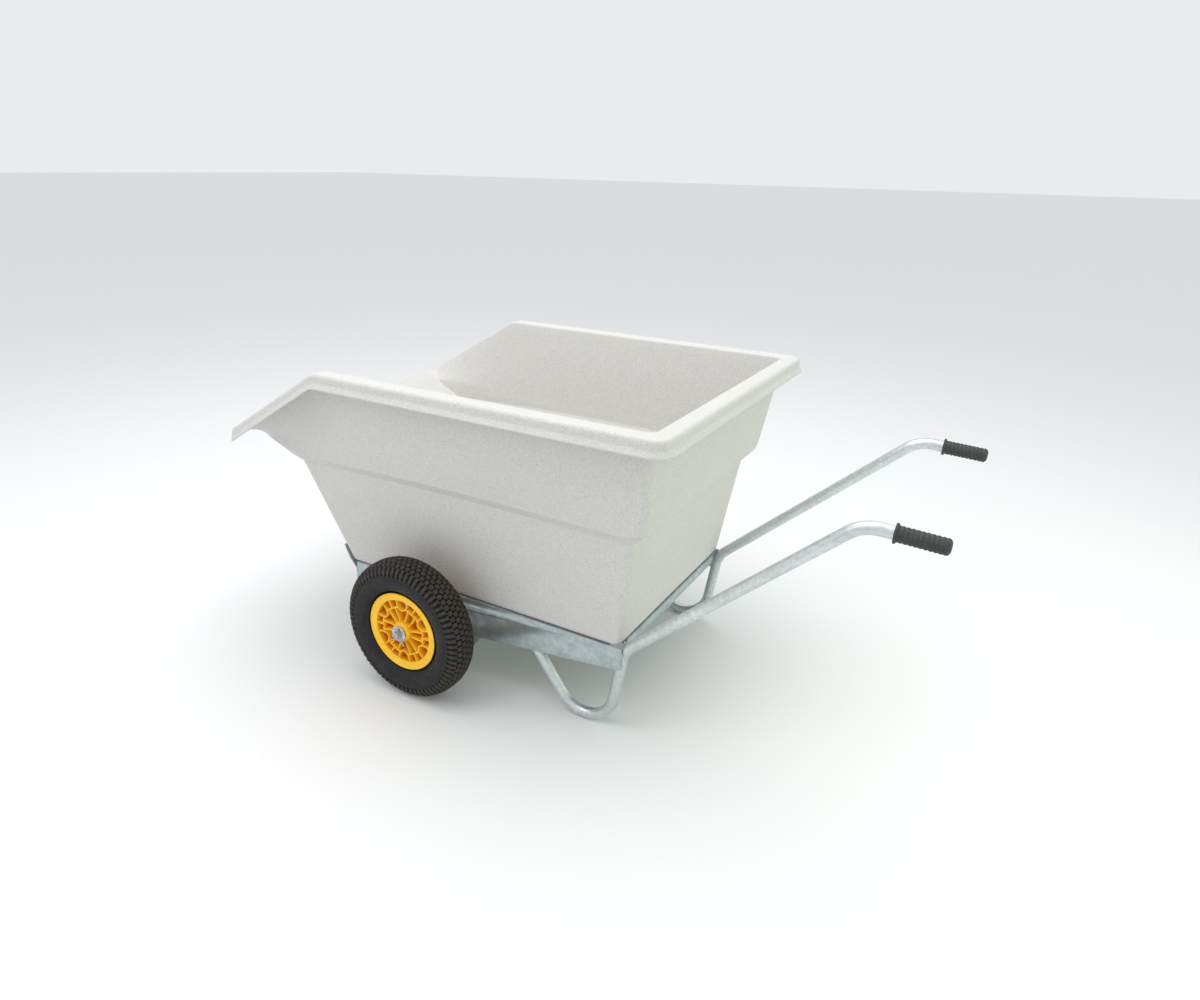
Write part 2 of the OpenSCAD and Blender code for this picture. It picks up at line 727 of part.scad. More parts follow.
module right_tyre() { right_side() left_tyre(); }
module right_inner_tube() { right_side() left_inner_tube(); }
module right_rim_outer() { right_side() left_rim_outer(); }
module right_rim_inner() { right_side() left_rim_inner(); }
module right_outer_bush() { right_side() left_outer_bush(); }
module right_inner_bush() { right_side() left_inner_bush(); }
module right_rim_screws() { right_side() left_rim_screws(); }
module right_rim_nuts() { right_side() left_rim_nuts(); }
module right_valve_stem() { right_side() left_valve_stem(); }
module right_valve_cap() { right_side() left_valve_cap(); }

tub();
tub_bolts();
tub_washers();
tub_nuts();
front_bolts();
front_nuts();
left_side_rail();
right_side_rail();
front_cross_rail();
front_upstand();
rear_cross_rail();
front_bearer();
rear_bearer();
rear_gussets();
left_axle_bracket();
right_axle_bracket();
left_handle_tube();
right_handle_tube();
left_grip();
right_grip();
axle();
left_spacer();
right_spacer();
left_inner_washer();
right_inner_washer();
left_outer_washer();
right_outer_washer();
left_split_pin();
right_split_pin();
left_tyre();
left_inner_tube();
left_rim_outer();
left_rim_inner();
left_outer_bush();
left_inner_bush();
left_rim_screws();
left_rim_nuts();
left_valve_stem();
left_valve_cap();
right_tyre();
right_inner_tube();
right_rim_outer();
right_rim_inner();
right_outer_bush();
right_inner_bush();
right_rim_screws();
right_rim_nuts();
right_valve_stem();
right_valve_cap();
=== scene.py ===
import json
import math
import bpy
import numpy as np
from mathutils import Matrix, Vector, noise


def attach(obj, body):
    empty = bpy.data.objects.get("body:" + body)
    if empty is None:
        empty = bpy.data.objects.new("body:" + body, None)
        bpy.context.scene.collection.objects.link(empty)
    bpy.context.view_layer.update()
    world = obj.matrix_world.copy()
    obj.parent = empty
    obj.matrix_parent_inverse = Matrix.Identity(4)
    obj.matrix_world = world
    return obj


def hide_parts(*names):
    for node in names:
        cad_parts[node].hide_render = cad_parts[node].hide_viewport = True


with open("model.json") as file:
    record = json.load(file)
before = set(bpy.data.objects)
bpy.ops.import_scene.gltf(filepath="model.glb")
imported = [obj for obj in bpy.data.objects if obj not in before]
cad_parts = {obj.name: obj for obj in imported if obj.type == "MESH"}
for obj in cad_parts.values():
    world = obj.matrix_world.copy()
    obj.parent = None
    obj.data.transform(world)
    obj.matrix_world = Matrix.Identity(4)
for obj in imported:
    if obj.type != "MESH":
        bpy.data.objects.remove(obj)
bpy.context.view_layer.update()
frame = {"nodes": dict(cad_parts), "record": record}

# Lengths in this script are metres, apart from names that end in _MM and lists said to be in millimetres.
MM = 0.001
JOINTS = {j["name"]: j for j in frame["record"]["behaviour"]["joints"]}
AXLE = Vector(JOINTS["left_wheel_spin"]["pos_m"])
AXLE.y = 0.0
WHEEL_Y = abs(JOINTS["left_wheel_spin"]["pos_m"][1])
SLOT_OF = {s["node"]: s["material_slot"] for s in frame["record"]["subparts"]}
SIDES = (("left", -1.0), ("right", 1.0))


# ---------------------------------------------------------------- meshes

def make_piece(name, verts, faces, material, body, replaces=(), sharp=None):
    """A mesh piece from points in metres. sharp is the angle in degrees above which edges stay sharp."""
    mesh = bpy.data.meshes.new(name)
    mesh.from_pydata([tuple(v) for v in verts], [], [tuple(f) for f in faces])
    mesh.validate()
    mesh.update()
    obj = bpy.data.objects.new(name, mesh)
    bpy.context.scene.collection.objects.link(obj)
    mesh.materials.append(material)
    for poly in mesh.polygons:
        poly.use_smooth = True
    if sharp is not None:
        mesh.set_sharp_from_angle(angle=math.radians(sharp))
    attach(obj, body)
    if replaces:
        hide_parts(*replaces)
    return obj


def grid_faces(rows, cols, wrap_rows=False):
    """Quads between closed rows of points, each row cols points long."""
    faces = []
    for r in range(rows if wrap_rows else rows - 1):
        s = (r + 1) % rows
        for c in range(cols):
            d = (c + 1) % cols
            faces.append((r * cols + c, r * cols + d, s * cols + d, s * cols + c))
    return faces


def fillet_rows(rows, radii, steps):
    """Rounds a section given as rows of points; a row's radius is a number, or one number for every point."""
    out = [rows[0]]
    for k in range(1, len(rows) - 1):
        if np.max(radii[k]) == 0:
            out.append(rows[k])
            continue
        to_a = rows[k - 1] - rows[k]
        to_c = rows[k + 1] - rows[k]
        len_a = np.linalg.norm(to_a, axis=1, keepdims=True)
        len_c = np.linalg.norm(to_c, axis=1, keepdims=True)
        to_a = to_a / np.maximum(len_a, 1e-9)
        to_c = to_c / np.maximum(len_c, 1e-9)
        half = np.arccos(np.clip(np.sum(to_a * to_c, axis=1, keepdims=True), -1, 1)) / 2
        reach = radii[k] / np.maximum(np.tan(half), 1e-3)
        reach = np.minimum(reach, np.minimum(len_a, len_c) * 0.47)
        weight = np.sin(half)
        a, c = rows[k] + to_a * reach, rows[k] + to_c * reach
        for t in np.linspace(0, 1, steps):
            wa, wb, wc = (1 - t) ** 2, 2 * t * (1 - t) * weight, t * t
            out.append((wa * a + wb * rows[k] + wc * c) / (wa + wb + wc))
    out.append(rows[-1])
    return out


def split_rows(rows, longest):
    """Adds rows where two neighbours are further apart than longest."""
    out = [rows[0]]
    for a, b in zip(rows, rows[1:]):
        gap = float(np.max(np.linalg.norm(b - a, axis=1)))
        n = max(1, math.ceil(gap / longest))
        out += [a + (b - a) * (k / n) for k in range(1, n + 1)]
    return out


# ---------------------------------------------------------------- node materials

def new_material(name, roughness, metallic=0.0, **sockets):
    """A Principled material and a small helper to build its nodes."""
    mat = bpy.data.materials.new(name)
    mat.use_nodes = True
    tree = mat.node_tree
    shader = tree.nodes["Principled BSDF"]
    shader.inputs["Roughness"].default_value = roughness
    shader.inputs["Metallic"].default_value = metallic
    for key, value in sockets.items():
        shader.inputs[key.replace("_", " ")].default_value = value
    return mat, tree, shader


def link(tree, a, b):
    tree.links.new(a, b)


def coords(tree, scale=(1, 1, 1)):
    """Object coordinates in metres, scaled."""
    tex = tree.nodes.new("ShaderNodeTexCoord")
    mapping = tree.nodes.new("ShaderNodeMapping")
    mapping.inputs["Scale"].default_value = scale
    link(tree, tex.outputs["Object"], mapping.inputs["Vector"])
    return mapping.outputs["Vector"]


def noise_node(tree, vector, scale, detail=2.0, roughness=0.5, distortion=0.0):
    node = tree.nodes.new("ShaderNodeTexNoise")
    node.inputs["Scale"].default_value = scale
    node.inputs["Detail"].default_value = detail
    node.inputs["Roughness"].default_value = roughness
    node.inputs["Distortion"].default_value = distortion
    link(tree, vector, node.inputs["Vector"])
    return node.outputs["Fac"]


def voronoi_node(tree, vector, scale, output="Color"):
    node = tree.nodes.new("ShaderNodeTexVoronoi")
    node.inputs["Scale"].default_value = scale
    link(tree, vector, node.inputs["Vector"])
    return node.outputs[output]


def ramp(tree, fac, stops):
    """stops are (position, colour) with linear colours of three numbers."""
    node = tree.nodes.new("ShaderNodeValToRGB")
    elements = node.color_ramp.elements
    while len(elements) < len(stops):
        elements.new(0.5)
    for element, (pos, colour) in zip(elements, stops):
        element.position = pos
        element.color = (*colour, 1.0)
    link(tree, fac, node.inputs["Fac"])
    return node.outputs["Color"]


def mix(tree, fac, a, b):
    """fac, a and b are sockets, numbers or linear colours."""
    node = tree.nodes.new("ShaderNodeMix")
    node.data_type = "RGBA"
    for value, socket in ((fac, node.inputs[0]), (a, node.inputs[6]), (b, node.inputs[7])):
        if isinstance(value, (int, float)):
            socket.default_value = value
        elif isinstance(value, tuple):
            socket.default_value = (*value, 1.0)
        else:
            link(tree, value, socket)
    return node.outputs[2]


def spread(tree, fac, low, high, out_low=0.0, out_high=1.0):
    node = tree.nodes.new("ShaderNodeMapRange")
    for key, value in (("From Min", low), ("From Max", high), ("To Min", out_low), ("To Max", out_high)):
        node.inputs[key].default_value = value
    link(tree, fac, node.inputs["Value"])
    return node.outputs["Result"]


def math_node(tree, operation, a, b):
    node = tree.nodes.new("ShaderNodeMath")
    node.operation = operation
    for value, socket in ((a, node.inputs[0]), (b, node.inputs[1])):
        if isinstance(value, (int, float)):
            socket.default_value = value
        else:
            link(tree, value, socket)
    return node.outputs[0]


def bump(tree, shader, height, strength, distance):
    node = tree.nodes.new("ShaderNodeBump")
    node.inputs["Strength"].default_value = strength
    node.inputs["Distance"].default_value = distance
    link(tree, height, node.inputs["Height"])
    link(tree, node.outputs["Normal"], shader.inputs["Normal"])


def tub_material():
    """Rotation-moulded polyethylene in granite grey: flecks, faint clouding, scuffs and orange-peel skin."""
    mat, tree, shader = new_material("tub_granite", 0.5, IOR=1.5)
    where = coords(tree)
    fine = noise_node(tree, where, 480, detail=2.0, roughness=0.7)
    base = ramp(tree, fine, [(0.30, (0.43, 0.42, 0.395)), (0.44, (0.585, 0.575, 0.55)),
                             (0.56, (0.665, 0.655, 0.63)), (0.72, (0.80, 0.79, 0.77))])
    speck = spread(tree, voronoi_node(tree, where, 300, output="Distance"), 0.12, 0.30, 1.0, 0.0)
    chosen = spread(tree, noise_node(tree, where, 170, detail=1.0), 0.50, 0.58)
    base = mix(tree, math_node(tree, "MULTIPLY", math_node(tree, "MULTIPLY", speck, chosen), 0.62), base,
               (0.25, 0.245, 0.23))
    cloud = noise_node(tree, where, 3.2, detail=4.0, roughness=0.6)
    base = mix(tree, spread(tree, cloud, 0.38, 0.75, 0.0, 0.20), base, (0.60, 0.575, 0.52))
    scuffs = noise_node(tree, coords(tree, (1.0, 1.0, 5.0)), 12, detail=6.0, roughness=0.72)
    base = mix(tree, spread(tree, scuffs, 0.60, 0.78, 0.0, 0.35), base, (0.74, 0.735, 0.72))
    link(tree, base, shader.inputs["Base Color"])
    rough = spread(tree, noise_node(tree, where, 9, detail=3.0), 0.3, 0.7, 0.44, 0.62)
    link(tree, rough, shader.inputs["Roughness"])
    peel = noise_node(tree, where, 420, detail=2.0)
    bump(tree, shader, peel, 0.16, 0.0006)
    return mat


def galvanised(name, base, spangle_scale, roughness, streak=(1, 1, 1), cloud_share=0.5):
    """Hot-dip zinc: faint spangle, soft clouds of dull oxide, drawn streaks and small bright scratches."""
    mat, tree, shader = new_material(name, roughness, metallic=0.78)
    where = coords(tree)
    drawn = coords(tree, streak)
    grey = tree.nodes.new("ShaderNodeRGBToBW")
    link(tree, voronoi_node(tree, where, spangle_scale), grey.inputs[0])
    dull = tuple(c * 0.90 for c in base)
    light = tuple(min(1.0, c * 1.08) for c in base)
    tone = ramp(tree, grey.outputs[0], [(0.15, dull), (0.55, base), (0.9, light)])
    cloud = noise_node(tree, drawn, 17, detail=6.0, roughness=0.62)
    tone = mix(tree, spread(tree, cloud, 0.40, 0.70, 0.0, cloud_share), tone, tuple(c * 0.62 for c in base))
    white = noise_node(tree, drawn, 75, detail=5.0, roughness=0.72)
    tone = mix(tree, spread(tree, white, 0.58, 0.72, 0.0, 0.6), tone, (0.86, 0.89, 0.88))
    link(tree, tone, shader.inputs["Base Color"])
    rough = spread(tree, cloud, 0.35, 0.7, roughness - 0.07, roughness + 0.14)
    link(tree, rough, shader.inputs["Roughness"])
    bump(tree, shader, noise_node(tree, drawn, 70, detail=5.0, roughness=0.6), 0.16, 0.0007)
    return mat


def bright_zinc(name, base, roughness):
    """Plated fasteners: fine brushing with darker grime."""
    mat, tree, shader = new_material(name, roughness, metallic=0.9)
    where = coords(tree)
    grime = noise_node(tree, where, 160, detail=4.0, roughness=0.65)
    dark, light = tuple(c * 0.62 for c in base), tuple(min(1, c * 1.2) for c in base)
    tone = ramp(tree, grime, [(0.35, dark), (0.55, base), (0.8, light)])
    link(tree, tone, shader.inputs["Base Color"])
    brushing = noise_node(tree, where, 300, detail=3.0)
    rough = spread(tree, brushing, 0.3, 0.7, roughness - 0.08, roughness + 0.14)
    link(tree, rough, shader.inputs["Roughness"])
    bump(tree, shader, noise_node(tree, where, 700, detail=2.0), 0.10, 0.0003)
    return mat


def rubber(name, base, dust, roughness, grain=900):
    """Rubber with a dusty bloom and a fine moulded grain."""
    mat, tree, shader = new_material(name, roughness)
    where = coords(tree)
    bloom = noise_node(tree, where, 22, detail=5.0, roughness=0.65)
    tone = mix(tree, spread(tree, bloom, 0.35, 0.75), base, dust)
    link(tree, tone, shader.inputs["Base Color"])
    rough = spread(tree, bloom, 0.3, 0.7, roughness - 0.1, min(0.95, roughness + 0.1))
    link(tree, rough, shader.inputs["Roughness"])
    bump(tree, shader, noise_node(tree, where, grain, detail=3.0), 0.25, 0.0004)
    return mat


def tyre_material():
    """Tread: dusty brown tops, and grooves darkened to near-black as painted shade; sidewall: black with a
    faint polish and dust.
    """
    mat, tree, shader = new_material("tyre_rubber", 0.62, Specular_IOR_Level=0.24)
    where = coords(tree)
    height = tree.nodes.new("ShaderNodeAttribute")
    height.attribute_name = "tread"
    depth = height.outputs["Fac"]
    grain = noise_node(tree, where, 130, detail=5.0, roughness=0.7)
    side = ramp(tree, grain, [(0.30, (0.010, 0.010, 0.011)), (0.55, (0.018, 0.018, 0.020)),
                              (0.80, (0.040, 0.040, 0.042))])
    top = ramp(tree, grain, [(0.30, (0.034, 0.029, 0.023)), (0.55, (0.056, 0.049, 0.039)),
                             (0.80, (0.090, 0.080, 0.064))])
    tone = mix(tree, spread(tree, depth, 0.50, 0.98), side, top)
    # painted shade: the deeper a point lies in a groove, the closer it is made to near-black
    tone = mix(tree, spread(tree, depth, 0.45, 0.05), tone, (0.006, 0.0055, 0.005))
    dust = noise_node(tree, where, 19, detail=5.0, roughness=0.65)
    tone = mix(tree, spread(tree, dust, 0.50, 0.80, 0.0, 0.30), tone, (0.085, 0.080, 0.070))
    link(tree, tone, shader.inputs["Base Color"])
    rough = spread(tree, depth, 0.4, 1.0, 0.50, 0.80)
    link(tree, rough, shader.inputs["Roughness"])
    bump(tree, shader, noise_node(tree, where, 650, detail=3.0), 0.25, 0.0005)
    return mat


def moulded_yellow():
    """Injection-moulded plastic: warm yellow with flow marks, and painted shade that turns the sunk cells a
    deeper orange.
    """
    mat, tree, shader = new_material("rim_yellow", 0.34, IOR=1.5)
    where = coords(tree)
    flow = noise_node(tree, where, 16, detail=3.0, distortion=0.6)
    tone = ramp(tree, flow, [(0.3, (0.92, 0.50, 0.012)), (0.55, (0.98, 0.56, 0.018)),
                             (0.8, (1.0, 0.62, 0.035))])
    raised = tree.nodes.new("ShaderNodeAttribute")
    raised.attribute_name = "raised"
    # painted shade: the lower a point lies in the cells, the deeper orange it is made
    cell_shade = spread(tree, raised.outputs["Fac"], 0.15, 0.95, 1.0, 0.0)
    tone = mix(tree, math_node(tree, "MULTIPLY", cell_shade, 0.85), tone, (0.78, 0.255, 0.004))
    dirt = noise_node(tree, where, 60, detail=5.0, roughness=0.7)
    tone = mix(tree, spread(tree, dirt, 0.60, 0.82, 0.0, 0.30), tone, (0.50, 0.24, 0.03))
    link(tree, tone, shader.inputs["Base Color"])
    rough = spread(tree, dirt, 0.3, 0.7, 0.28, 0.44)
    link(tree, rough, shader.inputs["Roughness"])
    bump(tree, shader, noise_node(tree, where, 260, detail=2.0), 0.08, 0.0004)
    return mat


def nylon():
    """Natural nylon with a faint mottle."""
    mat, tree, shader = new_material("bush_nylon", 0.45)
    where = coords(tree)
    mottle = noise_node(tree, where, 70, detail=3.0)
    tone = ramp(tree, mottle, [(0.3, (0.62, 0.60, 0.52)), (0.7, (0.78, 0.76, 0.70))])
    link(tree, tone, shader.inputs["Base Color"])
    bump(tree, shader, noise_node(tree, where, 500), 0.1, 0.0003)
    return mat


MATERIALS = {
    "tub_plastic": tub_material(),
    "galvanised_sheet": galvanised("galvanised_sheet", (0.47, 0.535, 0.545), 95, 0.42, (1, 1, 1.6), 0.62),
    "galvanised_tube": galvanised("galvanised_tube", (0.66, 0.705, 0.705), 130, 0.32, (0.35, 1, 0.6), 0.40),
    "axle_steel": bright_zinc("axle_steel", (0.50, 0.52, 0.53), 0.38),
    "zinc_fasteners": bright_zinc("zinc_fasteners", (0.62, 0.65, 0.66), 0.34),
    "grip_rubber": rubber("grip_rubber", (0.030, 0.031, 0.031), (0.060, 0.061, 0.059), 0.60),
    "tyre_rubber": tyre_material(),
    "tube_rubber": rubber("tube_rubber", (0.012, 0.012, 0.012), (0.03, 0.03, 0.03), 0.5),
    "rim_plastic": moulded_yellow(),
    "bush_plastic": nylon(),
    "valve_rubber": rubber("valve_rubber", (0.010, 0.010, 0.010), (0.03, 0.028, 0.025), 0.5),
}


# ---------------------------------------------------------------- tub

# The tub is a section carried round closed outlines in plan, in millimetres from the axle
CORNER_STEPS = 12
END_STEPS = 26
# Places along each side, from the rear corner to the front one; closer together where the rim bends down
SIDE_PLACES = np.unique(np.concatenate([np.linspace(0, 1, 42), 0.7430 + 0.0028 * np.arange(-6, 7)]))[1:-1]
RIM_H_MM = 873.0
RIM_FRONT_MM = 653.0
RIM_REAR_MM = 730.0
RIM_HALF_MM = 497.0
RIM_KNEE_MM = 292.0
POUR_DROP_MM = 222.0
KNEE_BLEND_MM = 11.0
WALL_MM = 7.0
DECK_MM = 252.8


def rim_top(x):
    """Height of the rim at x: level, a rounded knee, then a straight slope to the lip."""
    d = -RIM_KNEE_MM - x
    b = KNEE_BLEND_MM
    fall = np.where(d < -b, 0.0, np.where(d > b, d, (d + b) ** 2 / (4 * b)))
    return RIM_H_MM - POUR_DROP_MM / (RIM_FRONT_MM - RIM_KNEE_MM) * fall


def plan(xf, xr, hw, rf, rr):
    """Closed outline in plan, with the same number of points at the same places on every level."""
    def corner(cx, cy, r, start):
        a = np.radians(start + 90 * np.arange(CORNER_STEPS + 1) / CORNER_STEPS)
        return np.stack([cx + r * np.cos(a), cy + r * np.sin(a)], axis=1)

    def run(x0, y0, x1, y1, places):
        t = np.asarray(places)[:, None]
        return np.array([[x0, y0]]) * (1 - t) + np.array([[x1, y1]]) * t

    xa, xb = xr - rr, xf + rf
    ends = np.arange(1, END_STEPS) / END_STEPS
    return np.concatenate([
        corner(xa, hw - rr, rr, 0), run(xa, hw, xb, hw, SIDE_PLACES),
        corner(xb, hw - rf, rf, 90), run(xf, hw - rf, xf, rf - hw, ends),
        corner(xb, rf - hw, rf, 180), run(xb, -hw, xa, -hw, 1 - SIDE_PLACES[::-1]),
        corner(xa, rr - hw, rr, 270), run(xr, rr - hw, xr, hw - rr, ends),
    ])


def end_shares(start):
    """How far each point of an outline belongs to the front end, and to the rear end."""
    up = np.clip((np.arange(CORNER_STEPS + 1) / CORNER_STEPS - start) / (1 - start), 0, 1)
    n = CORNER_STEPS + 1
    side, end = np.zeros(len(SIDE_PLACES)), np.ones(END_STEPS - 1)
    none, flat = np.zeros(n), np.zeros(END_STEPS - 1)
    front = np.concatenate([none, side, up, end, up[::-1], side, none, flat])
    rear = np.concatenate([up[::-1], side, none, flat, none, side, up, end])
    return front, rear


FRONT, REAR = end_shares(0.4)


def ramp_up(values, start, end):
    """A soft step from 0 at start to 1 at end."""
    t = np.clip((values - start) / (end - start), 0, 1)
    return t * t * (3 - 2 * t)


# Where a row's height goes over to that of its front or its rear, as distances along X from the axle
FRONT_SPAN_MM = (330, 480)
LEDGE_FRONT_SPAN_MM = (400, 480)
REAR_SPAN_MM = (585, 632)
# The ledge's shallow arch along each side: top, fall, place of the top, and the reach over which it falls
ARCH_TOP_MM, ARCH_FALL_MM, ARCH_X_MM, ARCH_REACH_MM = 566, 9.5, 150, 560


def wall_row(level, inset=0.0, front_inset=0.0, arch=None):
    """A row of the wall, with a height for its front, sides and rear; arch lifts a row of the ledge."""
    xf, xr, hw, rf, rr, z = level
    p = plan(xf + front_inset, xr - inset, hw - inset, max(rf - inset, 6), max(rr - inset, 6))
    zf, zs, zr = z if isinstance(z, tuple) else (z, z, z)
    front = ramp_up(-p[:, 0], *(FRONT_SPAN_MM if arch is None else LEDGE_FRONT_SPAN_MM))
    rear = ramp_up(p[:, 0], *REAR_SPAN_MM) if xr > 600 else REAR
    if arch is not None:
        zs = ARCH_TOP_MM - ARCH_FALL_MM * ((p[:, 0] - ARCH_X_MM) / ARCH_REACH_MM) ** 2 + arch
    return np.column_stack([p, zf * front + zr * rear + zs * (1 - front - rear)])


def rim_row(out, down, lip_out, lip_down):
    """A row of the rim: out from its edge and down from its top, at the sides and then at the lip."""
    p = plan(-RIM_FRONT_MM - lip_out, RIM_REAR_MM + out, RIM_HALF_MM + out,
             max(22 + out, 15), max(42 + out, 20))
    return np.column_stack([p, rim_top(p[:, 0]) - down * (1 - FRONT) - lip_down * FRONT])


def by_place(side, front, rear):
    """A radius for every point of a row."""
    return (front * FRONT + rear * REAR + side * (1 - FRONT - REAR))[:, None]


# Levels of the outside, in millimetres: front, rear, half width, front and rear corner radius, height
FLOOR_MID = (-180, 410, 190, 15, 15, DECK_MM)
FOOT = (-345, 567.9, 340.9, 16, 16, DECK_MM)
LEDGE_LOW = (-492.5, 613, 376, 17, 18, (556, 562, 562))
LEDGE_HIGH = (-514, 647, 395.5, 17, 20, (577, 588, 596))
CHUTE = [
    (-545.5, 651, 398.0, 19, 22, (591.6, 603, 608)),
    (-573.5, 652, 399.6, 20, 22, (602.7, 610, 614)),
    (-600.7, 653.5, 402.0, 20, 22, (616, 620, 622)),
    (-622.0, 655.4, 404.5, 18, 22, (631, 631, 632)),
]
LEDGE_OUT = by_place(3.5, 10, 17)
LEDGE_IN = by_place(9, 14, 20)
FRONT_MM = 8.0         # the front wall's thickness along X, as it leans
SLOPE_MM = 14.5        # the chute's thickness along X, as it lies flatter

# The section's rows and the radius that rounds each, from the floor's inside over the rim to its underside
TUB_SECTION = [
    (wall_row(FLOOR_MID) + [0, 0, WALL_MM], 0),
    (wall_row(FOOT, WALL_MM, FRONT_MM) + [0, 0, WALL_MM], by_place(10, 20, 10)),
    (wall_row(LEDGE_LOW, WALL_MM, FRONT_MM, 0), LEDGE_IN),
    (wall_row(LEDGE_HIGH, WALL_MM, 11.5, 25), LEDGE_IN),
    *[(wall_row(level, WALL_MM, SLOPE_MM), 60) for level in CHUTE],
    (rim_row(-50, 0, -9, 5.2), 9),
    (rim_row(0, 0, -1, 0), by_place(12, 3, 12)),
    (rim_row(0.5, 24, 0.2, 3.2), 13),
    (rim_row(8.6, 36.5, 0.4, 5), 2.5),
    (rim_row(9, 41, 0.2, 7.6), 1.6),
    (rim_row(-1.5, 40, -2, 9.2), 2),
    (rim_row(-7, 8, -6, 12.9), 8),
    (rim_row(-43, 8, -10, 16.9), 7),
    *[(wall_row(level), 60) for level in CHUTE[::-1]],
    (wall_row(LEDGE_HIGH, 0, 0, 25), LEDGE_OUT),
    (wall_row(LEDGE_LOW, 0, 0, 0), LEDGE_OUT),
    (wall_row(FOOT), by_place(13, 26, 13)),
    (wall_row(FLOOR_MID), 0),
]
ROW_GAP_MM = 26
FILLET_STEPS = 7
WAVE_MM = 1.1          # how far the moulded walls stray from flat
WAVE_LENGTH_MM = 260


def to_frame(points_mm):
    """From millimetres beside the axle to metres in the row's frame."""
    return points_mm * MM + np.array([AXLE.x, 0.0, 0.0])


def moulded_waviness(points):
    """Small sideways wander of the walls, which dies out towards the floor."""
    out = points.copy()
    for i, p in enumerate(points):
        w = noise.noise(Vector(p / WAVE_LENGTH_MM)) * WAVE_MM
        side = Vector((p[0] - 60, p[1] * 1.2, 0)).normalized()
        fade = min(1.0, max(0.0, (p[2] - DECK_MM) / 120))
        out[i, 0] += side.x * w * fade
        out[i, 1] += side.y * w * fade
    return out


def build_tub():
    """The tub as one closed shell from the middle of its floor round to the floor's underside."""
    rows = fillet_rows([r for r, _ in TUB_SECTION], [f for _, f in TUB_SECTION], FILLET_STEPS)
    rows = split_rows(rows, ROW_GAP_MM)
    cols = len(rows[0])
    points = to_frame(moulded_waviness(np.concatenate(rows)))
    faces = grid_faces(len(rows), cols)
    faces.append(tuple(range(cols))[::-1])
    last = (len(rows) - 1) * cols
    faces.append(tuple(range(last, last + cols)))
    return make_piece("tub_shell", points, faces, MATERIALS["tub_plastic"], "root", ("tub",))


# ---------------------------------------------------------------- steelwork

def softened(node, width, name, body="root"):
    """A copy of a CAD node with its edges rounded, as rolled and galvanised steel is."""
    mesh = frame["nodes"][node].data.copy()
    mesh.name = name
    obj = bpy.data.objects.new(name, mesh)
    bpy.context.scene.collection.objects.link(obj)
    mesh.materials.clear()
    mesh.materials.append(MATERIALS[SLOT_OF[node]])
    weld = obj.modifiers.new("weld", "WELD")
    weld.merge_threshold = 0.00001
    bevel = obj.modifiers.new("round_edges", "BEVEL")
    bevel.width = width
    bevel.segments = 2
    bevel.limit_method = "ANGLE"
    bevel.angle_limit = math.radians(35)
    bevel.harden_normals = True
    for poly in mesh.polygons:
        poly.use_smooth = True
    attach(obj, body)
    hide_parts(node)
    return obj


def tube_rows(path, radius, sides):
    """Rings square to a path in the X-Z plane; path is rows of x, y, z and the heading in radians."""
    rows = []
    for x, y, z, h in path:
        a = 2 * np.pi * np.arange(sides) / sides
        out = radius * np.cos(a)
        rows.append(np.stack([x - out * math.sin(h), y + radius * np.sin(a), z + out * math.cos(h)], axis=1))
    return rows


# The bent tube's path beside the axle, in millimetres: corner points and the radii that round them
TUBE_CORNERS_MM = [(296, 185.5), (524.2, -112.55), (579, 240), (1105, 721), (1270, 712.93)]
TUBE_RADII_MM = [0, 87, 87, 90, 0]
TUBE_Y = 0.3275
TUBE_R = 0.015
TUBE_WALL = 0.002
TUBE_SIDES = 40
BEND_STEP = math.radians(4)


def bent_path(corners, radii):
    """Points and headings along straight lengths joined by circular bends."""
    pts = [np.array(c, float) for c in corners]
    path = []
    heads = [math.atan2(*(b - a)[::-1]) for a, b in zip(pts, pts[1:])]
    path.append((*pts[0], heads[0]))
    for i in range(1, len(pts) - 1):
        turn = (heads[i] - heads[i - 1] + math.pi) % (2 * math.pi) - math.pi
        side = math.copysign(1, turn)
        back = np.array([math.cos(heads[i - 1]), math.sin(heads[i - 1])])
        first = pts[i] - back * radii[i] * math.tan(abs(turn) / 2)
        centre = first + side * radii[i] * np.array([-back[1], back[0]])
        steps = math.ceil(abs(turn) / BEND_STEP)
        for k in range(steps + 1):
            h = heads[i - 1] + turn * k / steps
            p = centre + side * radii[i] * np.array([math.sin(h), -math.cos(h)])
            path.append((*p, h))
    path.append((*pts[-1], heads[-1]))
    return path


TUBE_PATH = bent_path(TUBE_CORNERS_MM, TUBE_RADII_MM)


def build_handle_tube(side, sign):
    """One hollow bent tube: brace, leg loop and handle."""
    path = [(x * MM + AXLE.x, sign * TUBE_Y, z * MM, h) for x, z, h in TUBE_PATH]
    outer = tube_rows(path, TUBE_R, TUBE_SIDES)
    inner = tube_rows(path, TUBE_R - TUBE_WALL, TUBE_SIDES)[::-1]
    faces = grid_faces(len(outer) * 2, TUBE_SIDES, wrap_rows=True)
    return make_piece(f"{side}_bent_tube", np.concatenate(outer + inner), faces, MATERIALS["galvanised_tube"],
                      "root", (f"{side}_handle_tube",), sharp=40)


# How far each folded sheet's edges are rounded
STEEL_EDGES = {
    "left_side_rail": 0.0009, "right_side_rail": 0.0009, "front_upstand": 0.0008, "front_cross_rail": 0.0008,
    "rear_cross_rail": 0.0008, "front_bearer": 0.0008, "rear_bearer": 0.0008, "rear_gussets": 0.0005,
    "left_axle_bracket": 0.0006, "right_axle_bracket": 0.0006,
}


def build_steelwork():
    for node, width in STEEL_EDGES.items():
        softened(node, width, f"{node}_sheet")
    for side, sign in SIDES:
        build_handle_tube(side, sign)


# ---------------------------------------------------------------- wheels

# In a wheel's own frame, in millimetres: X to the rear, Y up, Z outwards from its middle plane
TYRE_R_MM = 200.0
AXLE_Z_MM = TYRE_R_MM


